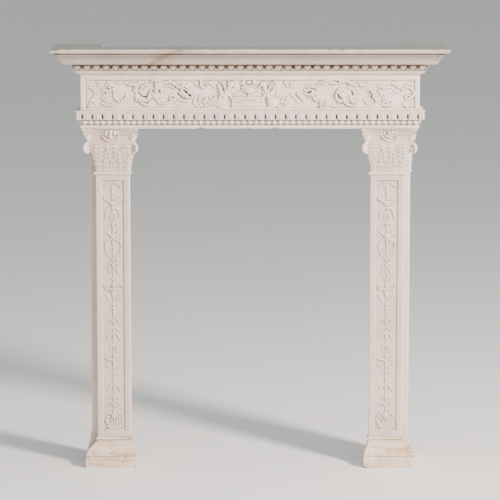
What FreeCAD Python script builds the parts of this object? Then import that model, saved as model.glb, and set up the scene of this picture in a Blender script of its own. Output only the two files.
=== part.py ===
import FreeCAD, Part
import math
import os
import Sketcher

# A carved marble mantel: two pilaster jambs on plinth blocks, Corinthian capitals, an
# architrave, a carved frieze, an egg-and-dart bed moulding and a moulded shelf. Each
# course is a front stone with moulded ends and two plain returns that run to the wall.
# X is along the wall, -Y is the room, +Z is up. The origin is on the floor, midway
# between the legs and midway between the wall and the shelf's front edge.

Vector = FreeCAD.Vector

# Driving sizes in millimetres. Depths are measured forwards from the wall.
SIZES = {
    # plan
    "opening_width": 890.0,
    "shaft_width": 125.0,
    "shaft_thick": 42.0,
    "strip_width": 25.0,
    "return_thick": 50.0,
    "breast_depth": 148.0,
    "course_step": 27.0,
    "shelf_overhang": 103.0,
    # base blocks, from the floor up
    "plinth_height": 56.0,
    "base_fillet": 8.0,
    "base_slope": 40.0,
    "base_torus": 11.0,
    "plinth_step": 20.0,
    "torus_step": 5.0,
    # shafts and their sunk panels
    "shaft_height": 988.0,
    "panel_border": 20.0,
    "panel_ends": 18.0,
    "panel_bead": 5.0,
    "panel_sink": 6.0,
    "relief_height": 4.0,
    # capitals
    "astragal_height": 12.0,
    "bell_height": 141.0,
    "abacus_height": 21.0,
    "abacus_inner_step": 34.0,
    "abacus_outer_step": 21.0,
    "volute_radius": 19.0,
    # architrave
    "lintel_fillet": 15.0,
    "bead_band": 19.0,
    "leaf_band": 32.0,
    "leaf_step": 21.0,
    "leaf_pitch": 37.3,
    "bead_pitch": 22.5,
    "bead_radius": 7.5,
    # frieze
    "frieze_height": 132.0,
    "frieze_border": 17.0,
    "frieze_foot": 8.0,
    "frieze_end": 18.0,
    "frieze_sink": 5.0,
    # bed moulding
    "bed_cove": 9.0,
    "bed_fillet": 7.0,
    "bed_egg_band": 22.0,
    "bed_cap": 4.0,
    "bed_step": 17.0,
    "egg_step": 41.0,
    "egg_pitch": 35.0,
    "egg_radius": 12.0,
    # shelf
    "shelf_cove": 23.0,
    "shelf_fascia": 19.0,
    "shelf_slab": 16.0,
    "cove_step": 59.0,
    "fascia_step": 84.0,
}


class Size:
    """A length that knows its value and the sheet expression that gives it."""

    def __init__(self, number, text):
        self.number = float(number)
        self.text = text

    @staticmethod
    def of(other):
        if isinstance(other, Size):
            return other
        return Size(other, repr(float(other)))

    def joined(self, sign, other, number):
        return Size(number, f"({self.text} {sign} {other.text})")

    def __add__(self, other):
        other = Size.of(other)
        return self.joined("+", other, self.number + other.number)

    def __sub__(self, other):
        other = Size.of(other)
        return self.joined("-", other, self.number - other.number)

    def __mul__(self, other):
        other = Size.of(other)
        return self.joined("*", other, self.number * other.number)

    def __truediv__(self, other):
        other = Size.of(other)
        return self.joined("/", other, self.number / other.number)

    def __neg__(self):
        return Size(-self.number, f"(-1 * {self.text})")

    def root(self):
        return Size(math.sqrt(self.number), f"sqrt({self.text})")


doc = FreeCAD.newDocument("Mantel")
sheet = doc.addObject("Spreadsheet::Sheet", "Sizes")
for row, (alias, number) in enumerate(SIZES.items(), start=1):
    sheet.set(f"A{row}", alias.replace("_", " "))
    sheet.set(f"B{row}", str(number))
    sheet.setAlias(f"B{row}", alias)
doc.recompute()

ZERO = Size(0.0, "0")
size = {name: Size(sheet.get(name), f"Sizes.{name}") for name in SIZES}

# Plan lines, as distances from the centre line outwards.
shaft_inner = size["opening_width"] / 2
shaft_outer = shaft_inner + size["shaft_width"]
return_outer = shaft_outer + size["strip_width"]
return_inner = return_outer - size["return_thick"]
course_half = return_outer + size["course_step"]
plinth_inner = shaft_inner - size["plinth_step"]
plinth_outer = return_outer + size["plinth_step"]
abacus_inner = shaft_inner - size["abacus_inner_step"]
abacus_outer = return_outer + size["abacus_outer_step"]

# Depths forwards from the wall.
breast_depth = size["breast_depth"]
shaft_face = breast_depth + size["shaft_thick"]
course_face = shaft_face + size["course_step"]
shelf_depth = course_face + size["shelf_overhang"]
wall_y = shelf_depth / 2

# Levels above the floor.
fillet_bottom = size["plinth_height"]
slope_bottom = fillet_bottom + size["base_fillet"]
torus_bottom = slope_bottom + size["base_slope"]
shaft_bottom = torus_bottom + size["base_torus"]
shaft_top = shaft_bottom + size["shaft_height"]
bell_bottom = shaft_top + size["astragal_height"]
abacus_bottom = bell_bottom + size["bell_height"]
lintel_bottom = abacus_bottom + size["abacus_height"]
bead_bottom = lintel_bottom + size["lintel_fillet"]
leaf_bottom = bead_bottom + size["bead_band"]
frieze_bottom = leaf_bottom + size["leaf_band"]
bed_bottom = frieze_bottom + size["frieze_height"]
bed_fillet_bottom = bed_bottom + size["bed_cove"]
egg_bottom = bed_fillet_bottom + size["bed_fillet"]
egg_top = egg_bottom + size["bed_egg_band"]
shelf_bottom = egg_top + size["bed_cap"]
fascia_bottom = shelf_bottom + size["shelf_cove"]
slab_bottom = fascia_bottom + size["shelf_fascia"]
shelf_top = slab_bottom + size["shelf_slab"]


def bind(thing, name, length):
    """Bind a property of an object to a size."""
    thing.setExpression(name, length.text)


def block(name, across, depth, level):
    """A box between two distances across, two depths from the wall and two levels."""
    box = doc.addObject("Part::Box", name)
    bind(box, "Length", across[1] - across[0])
    bind(box, "Width", depth[1] - depth[0])
    bind(box, "Height", level[1] - level[0])
    bind(box, "Placement.Base.x", across[0])
    bind(box, "Placement.Base.y", wall_y - depth[1])
    bind(box, "Placement.Base.z", level[0])
    return box


# Sketch planes: FRONT looks at the wall, with x across. SIDE has x forwards from the wall.
FRONT = FreeCAD.Rotation(Vector(1, 0, 0), 90)
SIDE = FreeCAD.Rotation(Vector(0, -1, 0), Vector(0, 0, 1), Vector(-1, 0, 0), "XYZ")


def draw_edge(sketch, start, end, bulge):
    """Add a line, or an arc whose rise is a share of its chord, swelling to the right."""
    if bulge == 0:
        sketch.addGeometry(Part.LineSegment(start, end), False)
        return
    chord = end - start
    middle = (start + end) / 2 + Vector(chord.y, -chord.x, 0) * bulge
    ends = (start, end) if bulge > 0 else (end, start)
    sketch.addGeometry(Part.Arc(ends[0], middle, ends[1]), False)


def start_vertex(bulge):
    """Which end of an edge the outline comes in by: an arc is stored anticlockwise."""
    return 1 if bulge >= 0 else 2


def pin_start(sketch, index, point):
    """Fix the start of an outline's edge at a point whose coordinates are sizes."""
    across, level, bulge = point
    vertex = start_vertex(bulge)
    for kind, axis, length in (("DistanceX", -2, across), ("DistanceY", -1, level)):
        if length.text == ZERO.text:
            sketch.addConstraint(Sketcher.Constraint("PointOnObject", index, vertex, axis))
            continue
        rule = Sketcher.Constraint(kind, -1, 1, index, vertex, length.number)
        number = sketch.addConstraint(rule)
        sketch.setExpression(f"Constraints[{number}]", length.text)


def outline_sketch(name, turn, depth, outline):
    """A closed sketch through (across, level, bulge) points, on a plane at a depth."""
    sketch = doc.addObject("Sketcher::SketchObject", name)
    sketch.Placement = FreeCAD.Placement(Vector(0, 0, 0), turn)
    bind(sketch, "Placement.Base.y", wall_y - depth)
    places = [Vector(across.number, level.number, 0) for across, level, bulge in outline]
    followers = outline[1:] + outline[:1]
    for index, point in enumerate(outline):
        draw_edge(sketch, places[index], places[(index + 1) % len(places)], point[2])
    for index, (point, follower) in enumerate(zip(outline, followers)):
        own_end = 3 - start_vertex(point[2])
        next_index = (index + 1) % len(outline)
        joint = Sketcher.Constraint(
            "Coincident", index, own_end, next_index, start_vertex(follower[2])
        )
        sketch.addConstraint(joint)
    for index, (point, follower) in enumerate(zip(outline, followers)):
        pin_start(sketch, index, point)
        bulge = abs(point[2])
        if bulge > 0:
            across = follower[0] - point[0]
            up = follower[1] - point[1]
            radius = (across * across + up * up).root() * (1 / (8 * bulge) + bulge / 2)
            rule = Sketcher.Constraint("Radius", index, radius.number)
            number = sketch.addConstraint(rule)
            sketch.setExpression(f"Constraints[{number}]", radius.text)
    return sketch


def extrusion(name, sketch, ahead, behind=ZERO):
    """A solid swept from a sketch along its normal."""
    solid = doc.addObject("Part::Extrusion", name)
    solid.Base = sketch
    solid.DirMode = "Normal"
    solid.Solid = True
    bind(solid, "LengthFwd", ahead)
    bind(solid, "LengthRev", behind)
    return solid


def going_down(rows):
    """The same edge walked from top to bottom: each bulge moves to its edge's other end."""
    bulges = [0] + [row[2] for row in rows[:-1]]
    return [(row[0], row[1], bulge) for row, bulge in zip(rows, bulges)][::-1]


def flipped(rows):
    """Rows on the other side of the centre line."""
    return [(-across, level, bulge) for across, level, bulge in rows]


def stepped(base, rows):
    """Rows moved outwards from a base line, given as (step, level, bulge)."""
    return [(base + step, level, bulge) for step, level, bulge in rows]


def stone(name, left, right, front, back):
    """A block with three moulded faces that meet in mitred corners, and a flat back.

    Each face is a list of (place, level, bulge) from its foot to its head.
    """
    silhouette = outline_sketch(name + "_front_sketch", FRONT, back, right + going_down(left))
    head = (back, front[-1][1], 0)
    foot = (back, front[0][1], 0)
    section = outline_sketch(name + "_side_sketch", SIDE, ZERO, front + [head, foot])
    reach = course_half + size["shelf_overhang"] * 2
    both = doc.addObject("Part::Common", name + "_stone")
    both.Base = extrusion(name + "_front_run", silhouette, shelf_depth)
    both.Tool = extrusion(name + "_side_run", section, reach, reach)
    return both


def return_stone(name, side, inner, outer):
    """A plain stone of one outline that runs from the wall to the front stones."""
    inner_rows = [(inner, outer[0][1], 0), (inner, outer[-1][1], 0)]
    if side > 0:
        outline = outer + going_down(inner_rows)
    else:
        outline = flipped(inner_rows) + going_down(flipped(outer))
    sketch = outline_sketch(name + "_sketch", FRONT, ZERO, outline)
    return extrusion(name + "_run", sketch, breast_depth)


def leg_stone(name, side, inner, outer, front):
    """A front stone of one leg, from its faces towards the opening and away from it."""
    if side > 0:
        return stone(name, inner, outer, front, breast_depth)
    return stone(name, flipped(outer), flipped(inner), front, breast_depth)


def fused(name, base, shapes):
    """A body with carved shapes added to it."""
    carving = doc.addObject("Part::Feature", name + "_carving")
    carving.Shape = shapes[0].multiFuse(shapes[1:]) if len(shapes) > 1 else shapes[0]
    whole = doc.addObject("Part::Fuse", name + "_carved")
    whole.Base = base
    whole.Tool = carving
    return whole


def cut(name, base, shapes):
    """A body with carved shapes taken out of it."""
    carving = doc.addObject("Part::Feature", name + "_sinking")
    carving.Shape = Part.makeCompound(shapes)
    whole = doc.addObject("Part::Cut", name + "_cut")
    whole.Base = base
    whole.Tool = carving
    return whole


def spaced(start, end, pitch):
    """Centres that share a run evenly, about a pitch apart."""
    count = max(1, round((end - start) / pitch))
    step = (end - start) / count
    return [start + (index + 0.5) * step for index in range(count)]


def at(across, depth, level):
    """A point from its distance across, depth from the wall and level."""
    return Vector(across, wall_y.number - depth, level)


def ball(across, depth, level, radius):
    """A sphere."""
    return Part.makeSphere(radius, at(across, depth, level))


def peg(across, depth, level, radius, length):
    """A round peg that stands forwards from a depth."""
    return Part.makeCylinder(radius, length, at(across, depth, level), Vector(0, -1, 0))


def hoop(across, depth, level, radius, thick, first=0, last=360):
    """A ring, or part of one, that lies flat against the face. Angles turn clockwise."""
    return Part.makeTorus(
        radius, thick, at(across, depth, level), Vector(0, -1, 0), -180, 180, last - first
    ).rotate(at(across, depth, level), Vector(0, 1, 0), first)


def curl(across, depth, level, radius, width, proud):
    """A flat ring that stands forwards from a depth."""
    outer = peg(across, depth - 2, level, radius + width / 2, proud + 2)
    return outer.cut(peg(across, depth - 3, level, radius - width / 2, proud + 4))


def brick(across, depth, level):
    """A box between two distances across, two depths and two levels."""
    corner = at(across[0], depth[1], level[0])
    return Part.makeBox(
        across[1] - across[0], depth[1] - depth[0], level[1] - level[0], corner
    )


def scalloped(length, width, lobes):
    """The edges of a leaf that points up from the origin: a row of arcs each side."""
    swell = 0.36
    shares = [index / lobes for index in range(lobes)]
    right = [
        Vector(width / 2 * math.sin(math.pi * (0.1 + 0.75 * share)), 0, length * share)
        for share in shares
    ]
    left = [Vector(-point.x, 0, point.z) for point in reversed(right)]
    points = right + [Vector(0, 0, length)] + left
    edges = []
    for point, follower in zip(points, points[1:]):
        chord = follower - point
        middle = (point + follower) / 2 + Vector(chord.z, 0, -chord.x) * swell
        edges.append(Part.Arc(point, middle, follower).toShape())
    edges.append(Part.LineSegment(points[-1], points[0]).toShape())
    return edges


def leaf(across, depth, level, turn, length, width, proud, lobes=3):
    """A scalloped leaf with a grooved rib, flat against the face and turned clockwise."""
    root = 2
    rib = width * 0.05
    blade = Part.Face(Part.Wire(scalloped(length, width, lobes)))
    blade = blade.extrude(Vector(0, -(proud + root), 0))
    groove = Part.makeBox(
        2 * rib, proud, length * 0.7, Vector(-rib, -(2 * proud + root / 2), length * 0.15)
    )
    blade = blade.cut(groove)
    blade.rotate(Vector(0, 0, 0), Vector(0, 1, 0), turn)
    blade.translate(at(across, depth - root, level))
    return blade


def standing_leaf(across, depth, level, length, width, thrown, turn=0):
    """A leaf that stands against the bell and throws its tip forwards, turned about its foot."""
    root = -6
    thick = 5
    blade = Part.Face(Part.Wire(scalloped(length, width, 4)))
    blade.translate(Vector(0, -root, 0))
    blade = blade.extrude(Vector(0, root - thrown - thick, 0))
    corners = [
        Vector(0, -root, 0),
        Vector(0, -thick, 0),
        Vector(0, -thick - 2, length * 0.6),
        Vector(0, -thrown, length * 0.76),
        Vector(0, -thrown * 0.5, length),
        Vector(0, -root, length),
    ]
    hollow = (corners[2] + corners[3]) / 2 + Vector(0, thrown * 0.08, length * 0.03)
    crown = (corners[3] + corners[4]) / 2 + Vector(0, -thrown * 0.15, length * 0.05)
    edges = [
        Part.LineSegment(corners[0], corners[1]).toShape(),
        Part.LineSegment(corners[1], corners[2]).toShape(),
        Part.Arc(corners[2], hollow, corners[3]).toShape(),
        Part.Arc(corners[3], crown, corners[4]).toShape(),
        Part.LineSegment(corners[4], corners[5]).toShape(),
        Part.LineSegment(corners[5], corners[0]).toShape(),
    ]
    side = Part.Face(Part.Wire(edges))
    side.translate(Vector(-width, 0, 0))
    shape = blade.common(side.extrude(Vector(2 * width, 0, 0)))
    shape.rotate(Vector(0, 0, 0), Vector(0, 0, 1), turn)
    shape.translate(at(across, depth, level))
    return shape


nodes = []


def finish(name, thing):
    """Name an object as one of the mantel's pieces."""
    thing.Label = name
    nodes.append(thing)


SIDES = (("left", -1), ("right", 1))


# Shelf: one slab on a fascia and a cove, cut out round the chimney breast.
def make_shelf():
    """The shelf slab."""
    rows = [
        (size["cove_step"], shelf_bottom, -0.08),
        (size["cove_step"] + 5, fascia_bottom, 0),
        (size["fascia_step"], fascia_bottom, 0),
        (size["fascia_step"], slab_bottom, 0),
        (size["shelf_overhang"], slab_bottom, 0),
        (size["shelf_overhang"], shelf_top, 0),
    ]
    right = stepped(course_half, rows)
    whole = stone("shelf", flipped(right), right, stepped(course_face, rows), ZERO)
    notch = block(
        "shelf_notch",
        (-return_inner, return_inner),
        (ZERO - breast_depth, breast_depth),
        (shelf_bottom - 10, shelf_top + 10),
    )
    shelf = doc.addObject("Part::Cut", "shelf_cut")
    shelf.Base = whole
    shelf.Tool = notch
    finish("shelf", shelf)


def course(name, rows, front_carving, end_carving, join):
    """A course of three stones: a front stone with moulded ends and two returns.

    The carvings are functions of a run's two ends that give shapes, and join adds them
    or takes them out.
    """
    right = stepped(course_half, rows)
    back = breast_depth.number
    face = course_face.number
    front = stone(name, flipped(right), right, stepped(course_face, rows), breast_depth)
    shapes = front_carving(-course_half.number, course_half.number)
    for side_name, side in SIDES:
        shapes += end_carving(side, back, face)
    finish(name + "_front", join(name, front, shapes) if shapes else front)
    for side_name, side in SIDES:
        label = f"{name}_return_{side_name}"
        plain = return_stone(label, side, return_inner, right)
        carved = end_carving(side, 0, back)
        finish(label, join(label, plain, carved) if carved else plain)


# Bed moulding: a cove, a fillet and a row of eggs under a square edge.
def make_bed_moulding():
    """The three stones of the bed moulding."""
    rows = [
        (ZERO + 3, bed_bottom, -0.2),
        (size["bed_step"], bed_fillet_bottom, 0),
        (size["bed_step"] + 2, egg_bottom, 0),
        (size["bed_step"] + 13, egg_top, 0),
        (size["egg_step"], egg_top, 0),
        (size["egg_step"], shelf_bottom, 0),
    ]
    radius = size["egg_radius"].number
    pitch = size["egg_pitch"].number
    out = size["egg_step"].number - radius - 2
    level = (egg_bottom.number + egg_top.number) / 2
    face = course_face.number + out
    half = course_half.number + out

    def front_eggs(start, end):
        return [ball(x, face, level, radius) for x in spaced(start - out, end + out, pitch)]

    def end_eggs(side, start, end):
        inset = pitch / 3 if end > breast_depth.number else 0
        return [
            ball(side * half, depth, level, radius)
            for depth in spaced(start, end - inset, pitch)
            if depth > start + radius and depth < end - radius
        ]

    course("bed_moulding", rows, front_eggs, end_eggs, fused)


# Architrave: a fillet, a row of beads and a band of leaves parted by deep slots.
def make_architrave():
    """The three stones of the architrave."""
    rows = [
        (ZERO, lintel_bottom, 0),
        (ZERO, bead_bottom, 0),
        (ZERO - 2, bead_bottom, 0),
        (ZERO - 2, leaf_bottom, 0),
        (size["leaf_step"] - 5, leaf_bottom, 0.1),
        (size["leaf_step"], frieze_bottom - 5, 0),
        (size["leaf_step"], frieze_bottom, 0),
    ]
    radius = size["bead_radius"].number
    bead_level = (bead_bottom.number + leaf_bottom.number) / 2
    bead_out = radius / 3
    step = size["leaf_step"].number
    slot_half = 3.2
    slot_level = (leaf_bottom.number - 1, leaf_bottom.number + size["leaf_band"].number * 0.62)
    face = course_face.number
    half = course_half.number

    def slots(start, end):
        return [
            brick((x - slot_half, x + slot_half), (face + step - 10, face + step + 5), slot_level)
            for x in spaced(start, end, size["leaf_pitch"].number)
        ]

    def end_slots(side, start, end):
        across = sorted((side * (half + step - 10), side * (half + step + 5)))
        return [
            brick(across, (depth - slot_half, depth + slot_half), slot_level)
            for depth in spaced(start, end, size["leaf_pitch"].number)
        ]

    def beads(start, end):
        pitch = size["bead_pitch"].number
        places = spaced(start - bead_out, end + bead_out, pitch)
        return [ball(x, face + bead_out, bead_level, radius) for x in places]

    def end_beads(side, start, end):
        across = side * (half + bead_out)
        places = spaced(start, end, size["bead_pitch"].number)
        return [
            ball(across, depth, bead_level, radius)
            for depth in places
            if depth > start + radius and depth < face - radius
        ]

    def slotted_and_beaded(name, base, shapes):
        cutters = [shape for shape in shapes if len(shape.Faces) > 1]
        added = [shape for shape in shapes if len(shape.Faces) == 1]
        return fused(name, cut(name, base, cutters), added)

    course(
        "architrave",
        rows,
        lambda start, end: slots(start, end) + beads(start, end),
        lambda side, start, end: end_slots(side, start, end) + end_beads(side, start, end),
        slotted_and_beaded,
    )


def rosette(across, depth, level, radius, petals):
    """A round flower: a boss in a ring of petals."""
    shapes = [peg(across, depth - 2, level, radius * 0.75, 4)]
    for index in range(petals):
        turn = 2 * math.pi * index / petals
        shapes.append(
            ball(
                across + radius * 0.62 * math.cos(turn),
                depth,
                level + radius * 0.62 * math.sin(turn),
                radius * 0.38,
            )
        )
    shapes.append(ball(across, depth + 2, level, radius * 0.3))
    return shapes


# Frieze: a sunk field between borders, a bowl on an altar between two crouching beasts,
# and a rinceau of whorls and flowers out to each end.
def make_frieze():
    """The carved frieze stone and its two plain returns."""
    field_bottom = frieze_bottom + size["frieze_foot"]
    field_top = bed_bottom - size["frieze_border"]
    rows = [(ZERO, frieze_bottom, 0), (ZERO, bed_bottom, 0)]
    floor = course_face.number - size["frieze_sink"].number
    low = field_bottom.number
    high = field_top.number
    middle = (low + high) / 2
    tall = high - low
    half = course_half.number - size["frieze_end"].number
    thick = size["relief_height"].number

    def rinceau(side):
        """Whorls of stem that turn up and down in turn, each round a flower and leaved."""
        shapes = []
        whorl = tall * 0.33
        first = half * 0.36
        places = spaced(first, half - 4, whorl * 2.3)
        for index, across in enumerate(places):
            up = 1 if index % 2 else -1
            level = middle + up * tall * 0.08
            start = 20 if up > 0 else 200
            shapes.append(hoop(side * across, floor, level, whorl, thick, start, start + 290))
            shapes += rosette(side * across, floor, level, whorl * 0.52, 5)
            for fan in (-50, 0, 50):
                lean = side * (fan + 40) if up > 0 else side * (fan + 140)
                reach = whorl * 0.82
                tip = math.radians(lean)
                shapes.append(
                    leaf(
                        side * across + reach * math.sin(tip),
                        floor,
                        level + reach * math.cos(tip),
                        lean + side * 35,
                        whorl * 0.72,
                        whorl * 0.4,
                        thick + 2,
                    )
                )
        return shapes

    def beast(side):
        """A crouching beast in the round: haunch, chest, neck, head, leg and raised wing."""
        place = tall * 0.62
        parts = (
            (0.62, 0.24, 0.19),
            (0.30, 0.33, 0.17),
            (0.14, 0.52, 0.12),
            (0.06, 0.70, 0.12),
            (-0.06, 0.64, 0.06),
            (0.10, 0.12, 0.07),
        )
        shapes = []
        for out, up, radius in parts:
            across = side * (place + out * tall)
            shapes.append(ball(across, floor - 2, low + up * tall, radius * tall * 0.8))
        wing_root = side * (place + 0.34 * tall)
        for lean in (10, 35, 60):
            wing = leaf(
                wing_root, floor, low + tall * 0.36, side * lean, tall * 0.56, tall * 0.2, thick + 4
            )
            shapes.append(wing)
        tail = side * (place + 0.8 * tall)
        for lean in (20, 80, 130):
            shapes.append(
                leaf(tail, floor, low + tall * 0.22, side * lean, tall * 0.3, tall * 0.14, thick + 2)
            )
        return shapes

    def altar():
        """A footed bowl of fruit on a tall panelled block."""
        shapes = []
        for half_width, foot, head, proud in (
            (62, -0.02, 0.06, thick + 3),
            (54, 0.05, 0.36, thick),
            (62, 0.35, 0.41, thick + 3),
            (8, 0.40, 0.56, thick + 1),
            (20, 0.72, 0.78, thick + 3),
        ):
            levels = (low + tall * foot, low + tall * head)
            shapes.append(brick((-half_width, half_width), (floor - 2, floor + proud), levels))
        panel = (low + tall * 0.12, low + tall * 0.3)
        shapes.append(brick((-30, 30), (floor - 2, floor + thick + 2), panel))
        shapes.append(ball(0, floor - 6, low + tall * 0.64, 17))
        for across in (-14, 0, 14):
            shapes.append(ball(across, floor, low + tall * 0.84, 6))
        return shapes

    def front_relief(start, end):
        shapes = altar()
        for side_name, side in SIDES:
            shapes += beast(side) + rinceau(side)
        return shapes

    def carved_field(name, base, shapes):
        across = size["frieze_end"] - course_half
        field = block(
            name + "_field",
            (across, -across),
            (course_face - size["frieze_sink"], course_face + 10),
            (field_bottom, field_top),
        )
        sunk = doc.addObject("Part::Cut", name + "_sunk")
        sunk.Base = base
        sunk.Tool = field
        return fused(name, sunk, shapes)

    course("frieze", rows, front_relief, lambda side, start, end: [], carved_field)


# Capitals: an astragal, a flared bell with two rows of leaves, corner volutes and a
# hollowed abacus with a flower at its middle.
def make_capital(side_name, side):
    """One Corinthian capital."""
    name = f"capital_{side_name}"
    step = size["torus_step"]
    lip = abacus_bottom - 4

    def face(foot, head):
        """One face: the astragal, the hollow of the bell and the abacus."""
        out = foot + step if head.number > foot.number else foot - step
        flare = (head - foot) * 0.72 + foot
        return [
            (out, shaft_top, 0),
            (out, bell_bottom, 0),
            (foot, bell_bottom, -0.12),
            (flare, lip, 0),
            (head, abacus_bottom, 0),
            (head, lintel_bottom, 0),
        ]

    def inner_face():
        """The face towards the opening swells the other way, so its hollow is turned."""
        return [(a, z, bulge) for a, z, bulge in face(shaft_inner, abacus_inner)]

    block_stone = leg_stone(
        name,
        side,
        inner_face(),
        face(shaft_outer, abacus_outer),
        face(shaft_face, course_face),
    )
    radius = size["volute_radius"].number
    back = breast_depth.number
    front = course_face.number
    foot = bell_bottom.number
    rise = size["bell_height"].number
    inner = abacus_inner.number
    outer = abacus_outer.number
    middle = (inner + outer) / 2
    volute_level = abacus_bottom.number - radius * 2.1
    scroll_face = front - 6
    shapes = []
    for across in (inner + radius, outer - radius):
        shapes.append(peg(side * across, back, volute_level, radius, scroll_face - back))
        shapes.append(hoop(side * across, scroll_face, volute_level, radius * 0.72, 3.5))
        shapes.append(ball(side * across, scroll_face, volute_level, 5))
    for share, thrown, width, pitch in ((0.36, 14, 24, 25), (0.62, 24, 34, 38), (0.8, 27, 28, 46)):
        for across in spaced(shaft_inner.number, shaft_outer.number, pitch):
            place = (side * across, shaft_face.number, foot)
            shapes.append(standing_leaf(*place, rise * share, width, thrown))
    halfway = (back + shaft_face.number) / 2
    for share, thrown in ((0.4, 14), (0.66, 20)):
        for face, turn in ((shaft_outer.number, 90), (shaft_inner.number, -90)):
            place = (side * face, halfway, foot)
            shapes.append(standing_leaf(*place, rise * share, 26, thrown, side * turn))
    flower_radius = 11
    shapes.append(ball(side * middle, front - 2, abacus_bottom.number + 4, flower_radius))
    carved = fused(name, block_stone, shapes)
    hollow_radius = 420
    hollow = Part.makeCylinder(
        hollow_radius,
        size["abacus_height"].number + 4,
        at(side * middle, front + hollow_radius - 5, abacus_bottom.number),
        Vector(0, 0, 1),
    )
    spared = 2 * flower_radius
    guard = brick(
        (side * middle - spared, side * middle + spared),
        (back, front + spared),
        (foot, lintel_bottom.number + spared),
    )
    finish(name, cut(name, carved, [hollow.cut(guard)]))


def candelabrum(across, floor, low, high):
    """Stacked cups, dishes, curls and leaves on one stem, up the middle of a panel."""
    tall = high - low
    thick = size["relief_height"].number
    stem_radius = 2.2
    shapes = [Part.makeCylinder(stem_radius, tall * 0.9, at(across, floor, low + tall * 0.05))]
    for share, half in ((0.06, 16), (0.3, 15), (0.6, 16), (0.92, 15)):
        level = low + tall * share
        span = (across - half, across + half)
        shapes.append(brick(span, (floor - 2, floor + 3), (level - 2, level + 2)))
        shapes.append(Part.makeCone(3, half * 0.6, 22, at(across, floor, level - 24.5)))
    pairs = (
        (0.12, 9, 13),
        (0.2, 6, 9),
        (0.42, 6, 9),
        (0.5, 5, 8),
        (0.7, 6, 9),
        (0.78, 13, 16),
        (0.86, 6, 9),
    )
    for share, radius, apart in pairs:
        level = low + tall * share
        for side in (-1, 1):
            shapes.append(curl(across + side * apart, floor, level, radius, 3, thick * 0.6))
    for share in (0.16, 0.25, 0.35, 0.46, 0.55, 0.66, 0.74, 0.82):
        for side in (-1, 1):
            level = low + tall * share
            shapes.append(leaf(across + side * 2, floor, level, side * 48, 30, 13, thick))
    return shapes


# Pilasters: a slab padded from a sketch, with a stepped sunk panel and its carving.
def rectangle_sketch(body, name, across, level, depth):
    """A rectangle on a body's own front plane, bound to sizes."""
    sketch = body.newObject("Sketcher::SketchObject", name)
    planes = {feature.Role: feature for feature in body.Origin.OriginFeatures}
    sketch.AttachmentSupport = (planes["XZ_Plane"], [""])
    sketch.MapMode = "FlatFace"
    bind(sketch, "AttachmentOffset.Base.z", depth - wall_y)
    left, right = across
    low, high = level
    corners = [(left, low), (right, low), (right, high), (left, high)]
    outline = [(x, z, 0) for x, z in corners]
    places = [Vector(x.number, z.number, 0) for x, z in corners]
    for index in range(4):
        sketch.addGeometry(Part.LineSegment(places[index], places[(index + 1) % 4]), False)
    for index in range(4):
        sketch.addConstraint(Sketcher.Constraint("Coincident", index, 2, (index + 1) % 4, 1))
    for index, point in enumerate(outline):
        pin_start(sketch, index, point)
    return sketch


def make_pilaster(side_name, side):
    """One shaft slab with its carved panel."""
    name = f"pilaster_{side_name}"
    ends = sorted((shaft_inner * side, shaft_outer * side), key=lambda length: length.number)
    body = doc.addObject("PartDesign::Body", name + "_body")
    outer = rectangle_sketch(body, name + "_slab", ends, (shaft_bottom, shaft_top), breast_depth)
    pad = body.newObject("PartDesign::Pad", name + "_pad")
    pad.Profile = outer
    bind(pad, "Length", size["shaft_thick"])
    edge = size["panel_border"]
    top = size["panel_ends"]
    bead = size["panel_bead"]
    sink = size["panel_sink"]
    sinks = ((edge, top, sink / 2), (edge + bead, top + bead, sink))
    for number, (border, end, deep) in enumerate(sinks):
        across = (ends[0] + border, ends[1] - border)
        level = (shaft_bottom + end, shaft_top - end)
        panel = rectangle_sketch(body, f"{name}_panel_{number}", across, level, shaft_face)
        pocket = body.newObject("PartDesign::Pocket", f"{name}_pocket_{number}")
        pocket.Profile = panel
        bind(pocket, "Length", deep)
    body.Tip = pocket
    margin = 10
    low = (shaft_bottom + top).number + margin
    high = (shaft_top - top).number - margin
    middle = side * (shaft_inner.number + shaft_outer.number) / 2
    floor = (shaft_face - sink).number
    finish(name, fused(name, body, candelabrum(middle, floor, low, high)))


# Base blocks: a plinth, a fillet, a hollow slope and a small torus under the shaft.
def make_base(side_name, side):
    """One base block."""
    step = size["torus_step"]

    def face(foot, head, outwards):
        out = step * outwards
        return [
            (foot, ZERO, 0),
            (foot, fillet_bottom, 0),
            (foot - Size.of(2 * outwards), fillet_bottom, 0),
            (foot - Size.of(2 * outwards), slope_bottom, -0.06),
            (head + out, torus_bottom, 0.2),
            (head + out, shaft_bottom, 0),
        ]

    base = leg_stone(
        f"base_{side_name}",
        side,
        face(plinth_inner, shaft_inner, -1),
        face(plinth_outer, shaft_outer, 1),
        face(course_face, shaft_face, 1),
    )
    finish(f"base_{side_name}", base)


# Jamb returns: side slabs whose foot and head carry the base's and capital's mouldings.
def make_jamb_return(side_name, side):
    """One side slab."""
    bell_start = abacus_bottom - size["bell_height"] / 2
    flare = return_outer + size["abacus_outer_step"] * 0.72
    outer = [
        (plinth_outer, ZERO, 0),
        (plinth_outer, fillet_bottom, 0),
        (plinth_outer - 2, fillet_bottom, 0),
        (plinth_outer - 2, slope_bottom, -0.06),
        (return_outer + 4, torus_bottom, 0.2),
        (return_outer + 4, shaft_bottom, 0),
        (return_outer, shaft_bottom, 0),
        (return_outer, bell_start, -0.12),
        (flare, abacus_bottom - 4, 0),
        (abacus_outer, abacus_bottom, 0),
        (abacus_outer, lintel_bottom, 0),
    ]
    name = f"jamb_return_{side_name}"
    finish(name, return_stone(name, side, return_inner, outer))


def check(thing):
    """Stop if an object failed or its solid is missing or wrong."""
    shape = thing.Shape
    if shape.isNull() or not shape.isValid() or len(shape.Solids) != 1:
        raise RuntimeError(f"{thing.Label}: {len(shape.Solids)} solids, valid {shape.isValid()}")


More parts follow.
